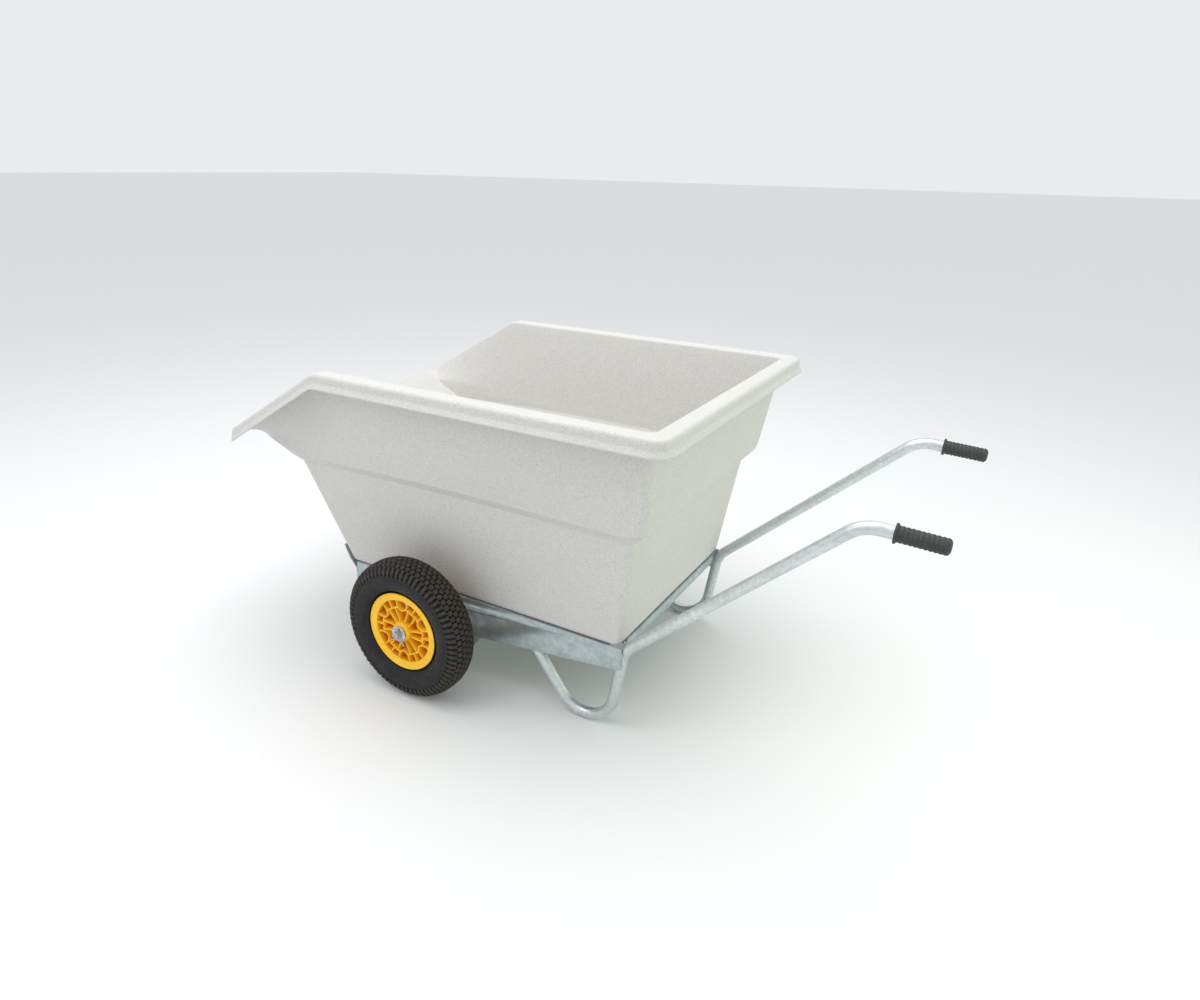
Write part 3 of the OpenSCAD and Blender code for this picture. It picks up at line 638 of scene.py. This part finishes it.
def on_wheel(points, sign):
    """From a wheel's own frame to the row's frame."""
    p = np.asarray(points, float)
    return np.stack([AXLE.x + p[:, 0] * MM, sign * (WHEEL_Y + p[:, 2] * MM), (AXLE_Z_MM + p[:, 1]) * MM],
                    axis=1)


def turned(sign, faces):
    """The right wheel is a mirror image, so its faces wind the other way."""
    return faces if sign < 0 else [f[::-1] for f in faces]


def lathe(section, cols, start=0):
    """A closed section of (radius, z) points turned about Z; returns points and quads."""
    a = 2 * np.pi * np.arange(cols) / cols
    rows = [np.stack([r * np.cos(a), r * np.sin(a), np.full(cols, z)], axis=1) for r, z in section]
    faces = [tuple(i + start for i in f[::-1]) for f in grid_faces(len(rows), cols, wrap_rows=True)]
    return np.concatenate(rows), faces


def rounded(section, radius, steps=4):
    """Rounds every corner of a closed section of (radius, z) points."""
    pts = np.array(section, float)
    out = []
    for i, p in enumerate(pts):
        a, c = pts[i - 1] - p, pts[(i + 1) % len(pts)] - p
        la, lc = np.linalg.norm(a), np.linalg.norm(c)
        reach = min(radius, la * 0.45, lc * 0.45)
        start, end = p + a / la * reach, p + c / lc * reach
        for t in np.linspace(0, 1, steps):
            out.append((1 - t) ** 2 * start + 2 * t * (1 - t) * p + t * t * end)
    return out


# The tyre's section is a rounded square about this circle
SECTION_R, SECTION_HALF_H, SECTION_HALF_W, SECTION_POWER = 156.0, 44.0, 48.0, 2.6
CASING_MM = 7.0
PITCHES = 72               # tread blocks round the tyre in one row
PITCH_COLS = 12
ROW_MM = 14.6              # from one row of blocks to the next
BLOCK_R = 7.3
BLOCK_H = 5.2
SHOULDER_MM = 66.0         # where the tread ends, measured across the tyre from its middle
SECTION_REACH = np.radians(158)
SECTION_STEP_MM = 1.55
# Raised and sunk rings on the sidewall: radius, width and height
SIDEWALL_RINGS = [(166, 1.6, 1.5), (161.5, 1.8, -1.6), (130, 1.3, 1.0), (127, 1.2, -1.0), (121, 1.4, 1.1)]


def tyre_section(half_w, half_h, angles):
    """Points (radius, z) of the tyre's section; angle 0 is the middle of the tread."""
    c, s = np.cos(angles), np.sin(angles)
    k = 2 / SECTION_POWER
    return np.stack([SECTION_R + half_h * np.sign(c) * np.abs(c) ** k, half_w * np.sign(s) * np.abs(s) ** k],
                    axis=1)


def even_steps(line, step):
    """A line of points resampled at an even step."""
    far = np.concatenate([[0], np.cumsum(np.linalg.norm(np.diff(line, axis=0), axis=1))])
    n = max(2, round(far[-1] / step))
    t = np.linspace(0, far[-1], n + 1)
    return np.stack([np.interp(t, far, line[:, k]) for k in range(line.shape[1])], axis=1)


def smooth_edge(d, width):
    """1 inside, 0 outside, with a soft step where the distance d crosses zero."""
    t = np.clip(0.5 - d / width, 0, 1)
    return t * t * (3 - 2 * t)


def tread(across, around):
    """Height of the tread, 0 in a groove and 1 on a block; across and around are in millimetres."""
    pitch = 2 * np.pi * TYRE_R_MM / PITCHES
    best = np.zeros(np.broadcast(across, around).shape)
    for row in range(-2, 3):
        shift = 0.5 * (row % 2)
        u = (around / pitch + shift) % 1.0 * pitch - pitch / 2
        v = across - row * ROW_MM
        phi = np.arctan2(v, u)
        edge = BLOCK_R * (1 + 0.13 * np.cos(6 * phi))
        block = smooth_edge(np.hypot(u, v) - edge, 1.9)
        dimple = 0.20 * smooth_edge(np.hypot(u, v) - 1.9, 1.6)
        best = np.maximum(best, block * (1 - dimple))
    # long lugs over the shoulders, one to a pitch, each notched where it meets the outer row
    u = (around / pitch + 0.5) % 1.0 * pitch - pitch / 2
    v = np.abs(across)
    start, end = 2.52 * ROW_MM, SHOULDER_MM
    lean = (v - start) * 0.05
    wide = 5.4 + 1.1 * np.cos((v - start) * 2 * np.pi / 17)
    lug = smooth_edge(np.abs(u - lean) - wide, 1.8) * smooth_edge(start - v, 2.2) * smooth_edge(v - end, 5)
    return np.maximum(best, lug)


def ridge(r, place, width, height):
    """A smooth ring of the given height about the radius place."""
    return height * np.exp(-((r - place) / width) ** 2)


def float_attribute(obj, name, values):
    """A number at each point, for the material's nodes."""
    layer = obj.data.attributes.new(name, "FLOAT", "POINT")
    layer.data.foreach_set("value", np.asarray(values, np.float32))


def build_tyre(side, sign):
    """A hollow casing with modelled tread, shoulder lugs, sidewall rings and beads."""
    line = tyre_section(SECTION_HALF_W, SECTION_HALF_H, np.linspace(-SECTION_REACH, SECTION_REACH, 1200))
    line = even_steps(line, SECTION_STEP_MM)
    far = np.concatenate([[0], np.cumsum(np.linalg.norm(np.diff(line, axis=0), axis=1))])
    across = far - far[-1] / 2
    keep = (np.abs(across) < 70) | (np.arange(len(line)) % 2 == 0)
    keep[[0, -1]] = True
    line, across = line[keep], across[keep]
    tangent = np.gradient(line, axis=0)
    tangent /= np.linalg.norm(tangent, axis=1, keepdims=True)
    normal = np.stack([tangent[:, 1], -tangent[:, 0]], axis=1)
    cols = PITCHES * PITCH_COLS
    a = 2 * np.pi * np.arange(cols) / cols
    around = TYRE_R_MM * a
    height = tread(across[:, None], around[None, :])
    tread_zone = smooth_edge(np.abs(across) - SHOULDER_MM, 7)
    wall = sum(ridge(line[:, 0], *ring) for ring in SIDEWALL_RINGS) * (np.abs(across) > SHOULDER_MM)
    lift = (height - 1) * BLOCK_H * tread_zone[:, None] + wall[:, None]
    wobble = 0.25 * np.sin(3 * a)[None, :] * tread_zone[:, None]
    lift = lift + np.minimum(wobble, 0)
    rr = line[:, 0][:, None] + normal[:, 0][:, None] * lift
    zz = line[:, 1][:, None] + normal[:, 1][:, None] * lift
    outer = np.stack([rr * np.cos(a), rr * np.sin(a), zz], axis=2)
    depth = height * tread_zone[:, None] + (1 - tread_zone[:, None]) * 0.5
    beads = [(113.6, 30.3), (101.3, 30.3), (101.3, 20.5), (118, 20.5)]
    inside = tyre_section(SECTION_HALF_W - CASING_MM, SECTION_HALF_H - CASING_MM,
                          np.radians(np.linspace(132, -132, 20)))
    rest = np.array(beads + inside.tolist() + [(r, -z) for r, z in beads[::-1]])
    inner = np.stack([rest[:, :1] * np.cos(a), rest[:, :1] * np.sin(a), np.repeat(rest[:, 1:], cols, axis=1)],
                     axis=2)
    points = np.concatenate([outer.reshape(-1, 3), inner.reshape(-1, 3)])
    rows = len(outer) + len(inner)
    faces = grid_faces(rows, cols, wrap_rows=True)
    obj = make_piece(f"{side}_turf_tyre", on_wheel(points, sign), turned(sign, faces),
                     MATERIALS["tyre_rubber"], f"{side}_wheel", (f"{side}_tyre",), sharp=60)
    float_attribute(obj, "tread", np.concatenate([depth.ravel(), np.full(len(inner) * cols, 0.5)]))


# The short hairs of rubber that the mould's vents leave on the shoulder lugs
HAIRS = 60
HAIR_R = 0.45
ROLLING_R = 199.4          # no hair stands further out than this, so none reaches through the ground


def build_hairs(side, sign):
    """Thin tapered hairs, each with three rings of points, standing square to the shoulder."""
    rng = np.random.default_rng(7 if sign < 0 else 8)
    verts, faces = [], []
    sides = 5
    for _ in range(HAIRS):
        a = rng.uniform(0, 2 * np.pi)
        t = rng.choice([-1, 1]) * rng.uniform(0.62, 1.20)
        (r0, z0), (r1, z1) = tyre_section(SECTION_HALF_W, SECTION_HALF_H, np.array([t, t + 0.01]))
        n = np.array([z1 - z0, -(r1 - r0)])
        n /= np.linalg.norm(n)
        n = n if n[0] > 0 else -n
        length = min(rng.uniform(3.0, 6.5), (ROLLING_R - HAIR_R - r0) / n[0])
        lean = rng.uniform(-0.25, 0.25, 2)
        start = len(verts)
        for k, (along, thick) in enumerate(((-1.5, 1.0), (length * 0.6, 0.8), (length, 0.3))):
            for j in range(sides):
                b = 2 * np.pi * j / sides
                r = r0 + n[0] * along + HAIR_R * thick * np.cos(b)
                z = z0 + n[1] * along + lean[0] * max(along, 0)
                t_off = HAIR_R * thick * np.sin(b) + lean[1] * max(along, 0)
                verts.append((r * np.cos(a) - t_off * np.sin(a), r * np.sin(a) + t_off * np.cos(a), z))
        faces += [tuple(start + i for i in f) for f in grid_faces(3, sides)]
        tip = start + 2 * sides
        faces += [tuple(start + i for i in range(sides))[::-1], tuple(tip + i for i in range(sides))]
    return make_piece(f"{side}_tyre_hairs", on_wheel(verts, sign), turned(sign, faces),
                      MATERIALS["tyre_rubber"], f"{side}_wheel", (), sharp=50)


# The rim's face: an outer ring, six arched cells, twelve smaller ones between them and twelve petals
RING_IN = 92.0
WEB_Z = (5.0, 8.0)
RIB_BOTTOM, RIB_TOP = 7.0, 31.0
RIB_HALF_T = 1.9
ARCHES = 6
PETALS = 12

# Closed sections of the rim's turned parts, as (radius, z)
RIM_RING = [(95.2, 0.2), (101.0, 0.2), (101.0, 31.2), (110.2, 31.2), (113.0, 33.0), (112.4, 35.3),
            (110.4, 35.6), (108.4, 33.2), (RING_IN + 0.8, 32.6), (RING_IN - 0.6, 31.6),
            (RING_IN - 0.6, 8.0), (94.6, 5.0)]
RIM_WEB = [(22.0, WEB_Z[0]), (96.0, WEB_Z[0]), (96.0, WEB_Z[1]), (22.0, WEB_Z[1])]
RIM_HUB = [(13.1, 0.2), (20.0, 0.2), (23.0, 5.0), (29.5, 7.0), (28.6, 31.0), (27.4, 36.5), (24.0, 40.5),
           (20.6, 42.6), (13.1, 42.6)]


def polar_line(points, step=2.2):
    """A smooth line through points given as (radius, degrees)."""
    pts = np.array(points, float)
    t = np.concatenate([[0], np.cumsum(np.hypot(np.diff(pts[:, 0]), np.radians(np.diff(pts[:, 1])) * 75))])
    fine = np.linspace(0, t[-1], max(3, int(t[-1] / step)))
    r, a = catmull(t, pts[:, 0], fine), np.radians(catmull(t, pts[:, 1], fine))
    return np.stack([r * np.cos(a), r * np.sin(a)], axis=1)


def catmull(t, y, at):
    """Smooth interpolation of y over t that passes through every point."""
    slope = np.gradient(y, t)
    i = np.clip(np.searchsorted(t, at, side="right") - 1, 0, len(t) - 2)
    h = t[i + 1] - t[i]
    u = (at - t[i]) / h
    return ((2 * u**3 - 3 * u**2 + 1) * y[i] + (u**3 - 2 * u**2 + u) * h * slope[i]
            + (3 * u**2 - 2 * u**3) * y[i + 1] + (u**3 - u**2) * h * slope[i + 1])


# A rib's section, as shares of its half thickness and of its height
RIB_SECTION = [(-1.25, 0.0), (-1.0, 0.93), (-0.62, 0.992), (0.0, 1.0), (0.62, 0.992), (1.0, 0.93),
               (1.25, 0.0)]


def rib_strip(line, start):
    """A thin upright rib with a rounded top along a line in the wheel's plane."""
    t = np.gradient(line, axis=0)
    t /= np.linalg.norm(t, axis=1, keepdims=True)
    n = np.stack([-t[:, 1], t[:, 0]], axis=1)
    rows = []
    for p, q in zip(line, n):
        rows.append([(p[0] + q[0] * w * RIB_HALF_T, p[1] + q[1] * w * RIB_HALF_T,
                      RIB_BOTTOM + (RIB_TOP - RIB_BOTTOM) * h) for w, h in RIB_SECTION])
    cols = len(RIB_SECTION)
    faces = [tuple(start + i for i in f[::-1]) for f in grid_faces(len(rows), cols)]
    last = start + (len(rows) - 1) * cols
    faces += [tuple(start + i for i in range(cols)), tuple(last + i for i in range(cols))[::-1]]
    return np.concatenate([np.array(r) for r in rows]), faces


# One side of an arched cell, as (radius, degrees from the cell's middle)
HALF_ARCH = [(RING_IN + 1, 12.6), (86, 12.6), (79, 12.2), (72, 10.6), (66.5, 7.6), (63, 3.8), (62, 0)]


def rim_ribs():
    """The lines of every rib, in the wheel's plane."""
    lines = []
    for k in range(ARCHES):
        mid = 90 + 60 * k
        arch = [(r, mid - d) for r, d in HALF_ARCH] + [(r, mid + d) for r, d in HALF_ARCH[-2::-1]]
        lines.append(polar_line(arch))
        lines.append(polar_line([(69.0, mid + 9.2), (70.6, mid + 16), (69.2, mid + 23), (68.0, mid + 30),
                                 (69.2, mid + 37), (70.6, mid + 44), (69.0, mid + 50.8)]))
        lines.append(polar_line([(68.2, mid + 30), (76, mid + 30.3), (84, mid + 30.2),
                                 (RING_IN + 1, mid + 30)]))
    for k in range(PETALS):
        a = 15 + 30 * k
        bend, end = (5.0, 69.0) if k % 2 else (-2.5, 69.5)
        lines.append(polar_line([(28, a), (38, a + bend * 0.15), (49, a + bend * 0.5), (60, a + bend),
                                 (end, a + bend)]))
    return lines


def build_rim(side, sign, half):
    """One moulded half of the rim; the inner half is the outer one turned to face the frame."""
    flip = 1.0 if half == "outer" else -1.0
    verts, faces = [], []

    def add(part):
        pts, fcs = part
        verts.append(pts * [1, 1, flip])
        faces.extend(fcs if flip > 0 else [f[::-1] for f in fcs])

    def count():
        return sum(len(v) for v in verts)

    add(lathe(rounded(RIM_RING, 1.4), 160, count()))
    add(lathe(RIM_WEB, 96, count()))
    add(lathe(rounded(RIM_HUB, 1.6), 96, count()))
    for line in rim_ribs():
        add(rib_strip(line, count()))
    local = np.concatenate(verts)
    obj = make_piece(f"{side}_rim_{half}_face", on_wheel(local, sign), turned(sign, faces),
                     MATERIALS["rim_plastic"], f"{side}_wheel", (f"{side}_rim_{half}",),
                     sharp=50)
    float_attribute(obj, "raised", ramp_up(np.abs(local[:, 2]), WEB_Z[1], RIB_TOP - 1))


def wire(points, radius, sides=10, squash=1.0):
    """A round wire through points; returns its points and faces, with closed ends."""
    pts = np.asarray(points, float)
    t = np.gradient(pts, axis=0)
    t /= np.linalg.norm(t, axis=1, keepdims=True)
    guide = np.array([0.0, 1.0, 0.0])
    rows = []
    for p, d, r in zip(pts, t, np.broadcast_to(radius, (len(pts),))):
        side = np.cross(d, guide)
        side /= max(np.linalg.norm(side), 1e-9)
        other = np.cross(d, side)
        a = 2 * np.pi * np.arange(sides) / sides
        rows.append(p + r * (np.cos(a)[:, None] * side + squash * np.sin(a)[:, None] * other))
    faces = grid_faces(len(rows), sides)
    last = (len(rows) - 1) * sides
    faces += [tuple(range(sides))[::-1], tuple(last + i for i in range(sides))]
    return np.concatenate(rows), faces


PIN_OUT = 0.0528           # from the wheel's middle plane to the split pin
PIN_WIRE_R = 0.0013
PIN_EYE_R, PIN_EYE_UP = 0.0048, 0.0192


def build_split_pin(side, sign):
    """One wire doubled back on itself: an eye above the axle and two legs bent apart below."""
    y = sign * (WHEEL_Y + PIN_OUT)
    eye = []
    for a in np.radians(np.linspace(-62, 242, 22)):
        eye.append((PIN_EYE_R * math.cos(a), PIN_EYE_R * math.sin(a) + PIN_EYE_UP))
    right = [(0.0240, -0.0285), (0.0140, -0.0215), (0.0056, -0.0155), (0.0018, -0.0118), (0.0013, -0.0090),
             (0.0013, 0.0), (0.0013, 0.0100), (0.0014, 0.0135)]
    left = [(-0.0013, 0.0135), (-0.0013, 0.0100), (-0.0013, 0.0), (-0.0013, -0.0090), (-0.0020, -0.0118),
            (-0.0068, -0.0152), (-0.0150, -0.0190), (-0.0225, -0.0222)]
    path = even_steps(np.array(right + eye + left), 0.0009)
    pts = [(AXLE.x + x, y, AXLE_Z_MM * MM + z) for x, z in path]
    verts, faces = wire(pts, PIN_WIRE_R, 10, 1.25)
    return make_piece(f"{side}_cotter", verts, faces, MATERIALS["zinc_fasteners"], "root",
                      (f"{side}_split_pin",), sharp=60)


def build_wheels():
    for side, sign in SIDES:
        body = f"{side}_wheel"
        build_tyre(side, sign)
        build_hairs(side, sign)
        for half in ("outer", "inner"):
            build_rim(side, sign, half)
            softened(f"{side}_{half}_bush", 0.0004, f"{side}_{half}_bush_moulding", body)
        for node in ("rim_screws", "rim_nuts", "valve_stem", "valve_cap"):
            softened(f"{side}_{node}", 0.0004, f"{side}_{node}_detail", body)
        build_split_pin(side, sign)


# ---------------------------------------------------------------- grips, welds and fasteners

GRIP_TILT = math.radians(2.8)
GRIP_LEN_MM = 108.0
GRIP_R_MM = 18.0
GRIP_OVER_MM = 6.0         # how far the grip's end stands beyond the tube's


def build_grip(side, sign):
    """A moulded sleeve with finger rings, shallow flutes, a collar and a domed end."""
    along = np.concatenate([np.linspace(0, 5, 7), np.linspace(6, GRIP_LEN_MM - 9, 88),
                            GRIP_LEN_MM - 9 + 9 * np.sin(np.linspace(0.15, 1, 10) * np.pi / 2)])
    cols = 84
    a = 2 * np.pi * np.arange(cols) / cols
    rows = []
    for s in along:
        collar = smooth_edge(np.array(s - 5.2), 2.0) * 4.0
        tail = max(0.0, (s - (GRIP_LEN_MM - 9)) / 9)
        dome = 1 - 0.62 * (1 - math.sqrt(max(0.0, 1 - tail**2)))
        body = smooth_edge(np.array(9.0 - s), 2) * smooth_edge(np.array(s - (GRIP_LEN_MM - 12)), 2)
        ring = 0.5 - 0.5 * math.cos(2 * math.pi * (s - 9) / 9.6)
        ring = 1 - (1 - ring) ** 4
        flute = np.clip(np.abs(np.cos(7 * a)) * 5, 0, 1)
        r = (GRIP_R_MM + collar) * dome - body * (1.5 * (1 - ring) + 0.9 * (1 - flute) * ring)
        rows.append(np.stack([np.full(cols, s), r * np.cos(a), r * np.sin(a)], axis=1))
    bore = TUBE_R / MM + 0.1
    for s in (GRIP_LEN_MM - 6.5, 0.0):
        rows.append(np.stack([np.full(cols, s), bore * np.cos(a), bore * np.sin(a)], axis=1))
    outer = len(along)
    faces = grid_faces(outer, cols)
    cap = (outer - 1) * cols
    faces.append(tuple(cap + c for c in range(cols)))
    floor, mouth = outer * cols, (outer + 1) * cols
    faces.append(tuple(floor + c for c in range(cols))[::-1])
    for c in range(cols):
        d = (c + 1) % cols
        faces.append((floor + c, floor + d, mouth + d, mouth + c))
        faces.append((mouth + c, mouth + d, d, c))
    end_x, end_z = TUBE_CORNERS_MM[-1]
    local = np.concatenate(rows)
    s = local[:, 0] - (GRIP_LEN_MM - GRIP_OVER_MM)
    ct, st = math.cos(GRIP_TILT), math.sin(GRIP_TILT)
    x = end_x + s * ct + local[:, 2] * st
    z = end_z - s * st + local[:, 2] * ct
    points = np.stack([AXLE.x + x * MM, sign * TUBE_Y + local[:, 1] * MM, z * MM], axis=1)
    return make_piece(f"{side}_grip_sleeve", points, faces, MATERIALS["grip_rubber"], "root",
                      (f"{side}_grip",), sharp=70)


def weld_bead(name, a, b, radius, seed):
    """A lumpy fillet of weld metal between two points beside the axle, in millimetres."""
    a, b = np.array(a, float), np.array(b, float)
    length = np.linalg.norm(b - a)
    n = max(8, int(length / 1.1))
    t = np.linspace(0, 1, n)
    path = a + (b - a) * t[:, None]
    rng = np.random.default_rng(seed)
    lumps = 0.80 + 0.22 * np.abs(np.sin(np.pi * t * length / 5.2)) + 0.10 * rng.random(n)
    ends = np.clip(np.minimum(t, 1 - t) * length / 3.0, 0.15, 1) ** 0.5
    path = path + rng.normal(0, 0.22, path.shape)
    pts, faces = wire(to_frame(path), radius * MM * lumps * ends, 9)
    make_piece(name, pts, faces, MATERIALS["galvanised_sheet"], "root", (), sharp=80)


# The outer and inner face of a side rail's web, from the middle plane
WEB_OUT_MM, WEB_IN_MM = 346.0, 343.5
BEARER_EDGES_MM = (-155, -105, 265, 315)
# Weld beads beside the axle: name, both ends as (x, distance from the middle plane, z), radius and seed
WELDS = [
    ("rail_tube", (580.5, WEB_OUT_MM - 1.2, 244), (580.5, WEB_OUT_MM - 1.2, 193), 3.0, 11),
    ("brace", (300, WEB_IN_MM - 0.6, 199), (330, WEB_IN_MM - 0.6, 158), 2.6, 13),
    ("bracket", (-120, WEB_OUT_MM - 3.0, 139.2), (120, WEB_OUT_MM - 3.0, 139.2), 2.0, 14),
    *[(f"bearer_{k}", (x, 284.5, 226), (x, 284.5, 247), 2.0, 20 + k) for k, x in enumerate(BEARER_EDGES_MM)],
    ("cross", (-322.5, 284, 208), (-322.5, 284, 246), 2.0, 15),
    ("upstand", (-324.2, WEB_OUT_MM - 1.5, 192), (-324.2, WEB_OUT_MM - 1.5, 229), 2.0, 16),
    ("gusset", (470, 309.5, 248.2), (560, 309.5, 248.2), 1.8, 17),
    ("axle", (-8, WEB_OUT_MM + 0.8, 189), (8, WEB_OUT_MM + 0.8, 189), 2.2, 18),
]


def build_welds():
    for side, sign in SIDES:
        for name, a, b, radius, seed in WELDS:
            ends = [(x, sign * out, z) for x, out, z in (a, b)]
            weld_bead(f"{side}_weld_{name}", *ends, radius, seed)


# How far the edges of the axle's parts and the fasteners are rounded
SMALL_EDGES = {
    "tub_bolts": 0.0004, "tub_washers": 0.0003, "tub_nuts": 0.0006, "front_bolts": 0.0004,
    "front_nuts": 0.0006, "axle": 0.0010, "left_spacer": 0.0006, "right_spacer": 0.0006,
    "left_inner_washer": 0.0005, "right_inner_washer": 0.0005, "left_outer_washer": 0.0006,
    "right_outer_washer": 0.0006,
}


def build_fasteners_and_grips():
    for node, width in SMALL_EDGES.items():
        softened(node, width, f"{node}_finished")
    for side, sign in SIDES:
        build_grip(side, sign)


def dress_remaining_nodes():
    """Every CAD node gets the detailed material of its slot; those that no piece replaces show it."""
    for node, obj in frame["nodes"].items():
        for slot in obj.material_slots:
            slot.material = MATERIALS[SLOT_OF[node]]


# ---------------------------------------------------------------- camera, light and floor

CAMERA_AZIMUTH = 30.73
CAMERA_ELEVATION = 19.50
CAMERA_ROLL = 1.15
CAMERA_FROM_AXLE = Vector((1.3800, -2.0014, 1.4125))
CAMERA_LENS = 25.15
CAMERA_SHIFT = (0.0313, -0.0352)
FLOOR_HALF = 60.0


def build_camera():
    """The camera that sees the barrow from its left rear, a little above the rim."""
    cam = bpy.data.cameras.new("camera")
    cam.lens = CAMERA_LENS
    cam.sensor_width = 36.0
    cam.shift_x, cam.shift_y = CAMERA_SHIFT
    obj = bpy.data.objects.new("camera", cam)
    bpy.context.scene.collection.objects.link(obj)
    a, e = math.radians(CAMERA_AZIMUTH), math.radians(CAMERA_ELEVATION)
    back = Vector((math.sin(a) * math.cos(e), -math.cos(a) * math.cos(e), math.sin(e)))
    right = Vector((math.cos(a), math.sin(a), 0))
    up = back.cross(right)
    roll = math.radians(CAMERA_ROLL)
    x_axis = right * math.cos(roll) + up * math.sin(roll)
    y_axis = up * math.cos(roll) - right * math.sin(roll)
    rot = Matrix((x_axis, y_axis, back)).transposed()
    obj.matrix_world = Matrix.Translation(CAMERA_FROM_AXLE + Vector((AXLE.x, 0, 0))) @ rot.to_4x4()
    bpy.context.scene.camera = obj


def area_light(name, place, target, size, power, colour):
    light = bpy.data.lights.new(name, "AREA")
    light.shape = "RECTANGLE"
    light.size, light.size_y = size
    light.energy = power
    light.color = colour
    obj = bpy.data.objects.new(name, light)
    bpy.context.scene.collection.objects.link(obj)
    obj.location = place
    obj.rotation_mode = "QUATERNION"
    obj.rotation_quaternion = (Vector(target) - Vector(place)).to_track_quat("-Z", "Y")
    return light


def build_studio():
    """Pale floor, pale world, a high key, a wide top light and a weak green bounce behind the barrow."""
    world = bpy.data.worlds.new("studio")
    bpy.context.scene.world = world
    world.use_nodes = True
    background = world.node_tree.nodes["Background"]
    background.inputs["Color"].default_value = (0.95, 0.97, 1.0, 1.0)
    background.inputs["Strength"].default_value = 0.86
    area_light("key", (-1.6, -2.6, 3.4), (0, 0, 0.4), (2.4, 2.4), 26, (1.0, 0.985, 0.96))
    area_light("top", (-0.3, 0.2, 3.6), (-0.2, 0, 0.5), (3.4, 3.0), 66, (1.0, 1.0, 1.0))
    bounce = area_light("grass_bounce", (3.2, 0.6, 1.1), (0.3, 0, 0.5), (2.6, 1.0), 8, (0.50, 0.80, 0.34))
    bounce.spread = math.radians(120)
    far = FLOOR_HALF
    mesh = bpy.data.meshes.new("floor")
    mesh.from_pydata([(-far, -far, 0), (far, -far, 0), (far, far, 0), (-far, far, 0)], [], [(0, 1, 2, 3)])
    floor = bpy.data.objects.new("floor", mesh)
    bpy.context.scene.collection.objects.link(floor)
    mat, _, shader = new_material("studio_floor", 0.85)
    shader.inputs["Base Color"].default_value = (0.84, 0.84, 0.835, 1.0)
    mesh.materials.append(mat)
    bpy.context.scene.view_settings.view_transform = "Standard"


build_camera()
build_studio()
build_tub()
build_steelwork()
build_wheels()
build_fasteners_and_grips()
build_welds()
dress_remaining_nodes()
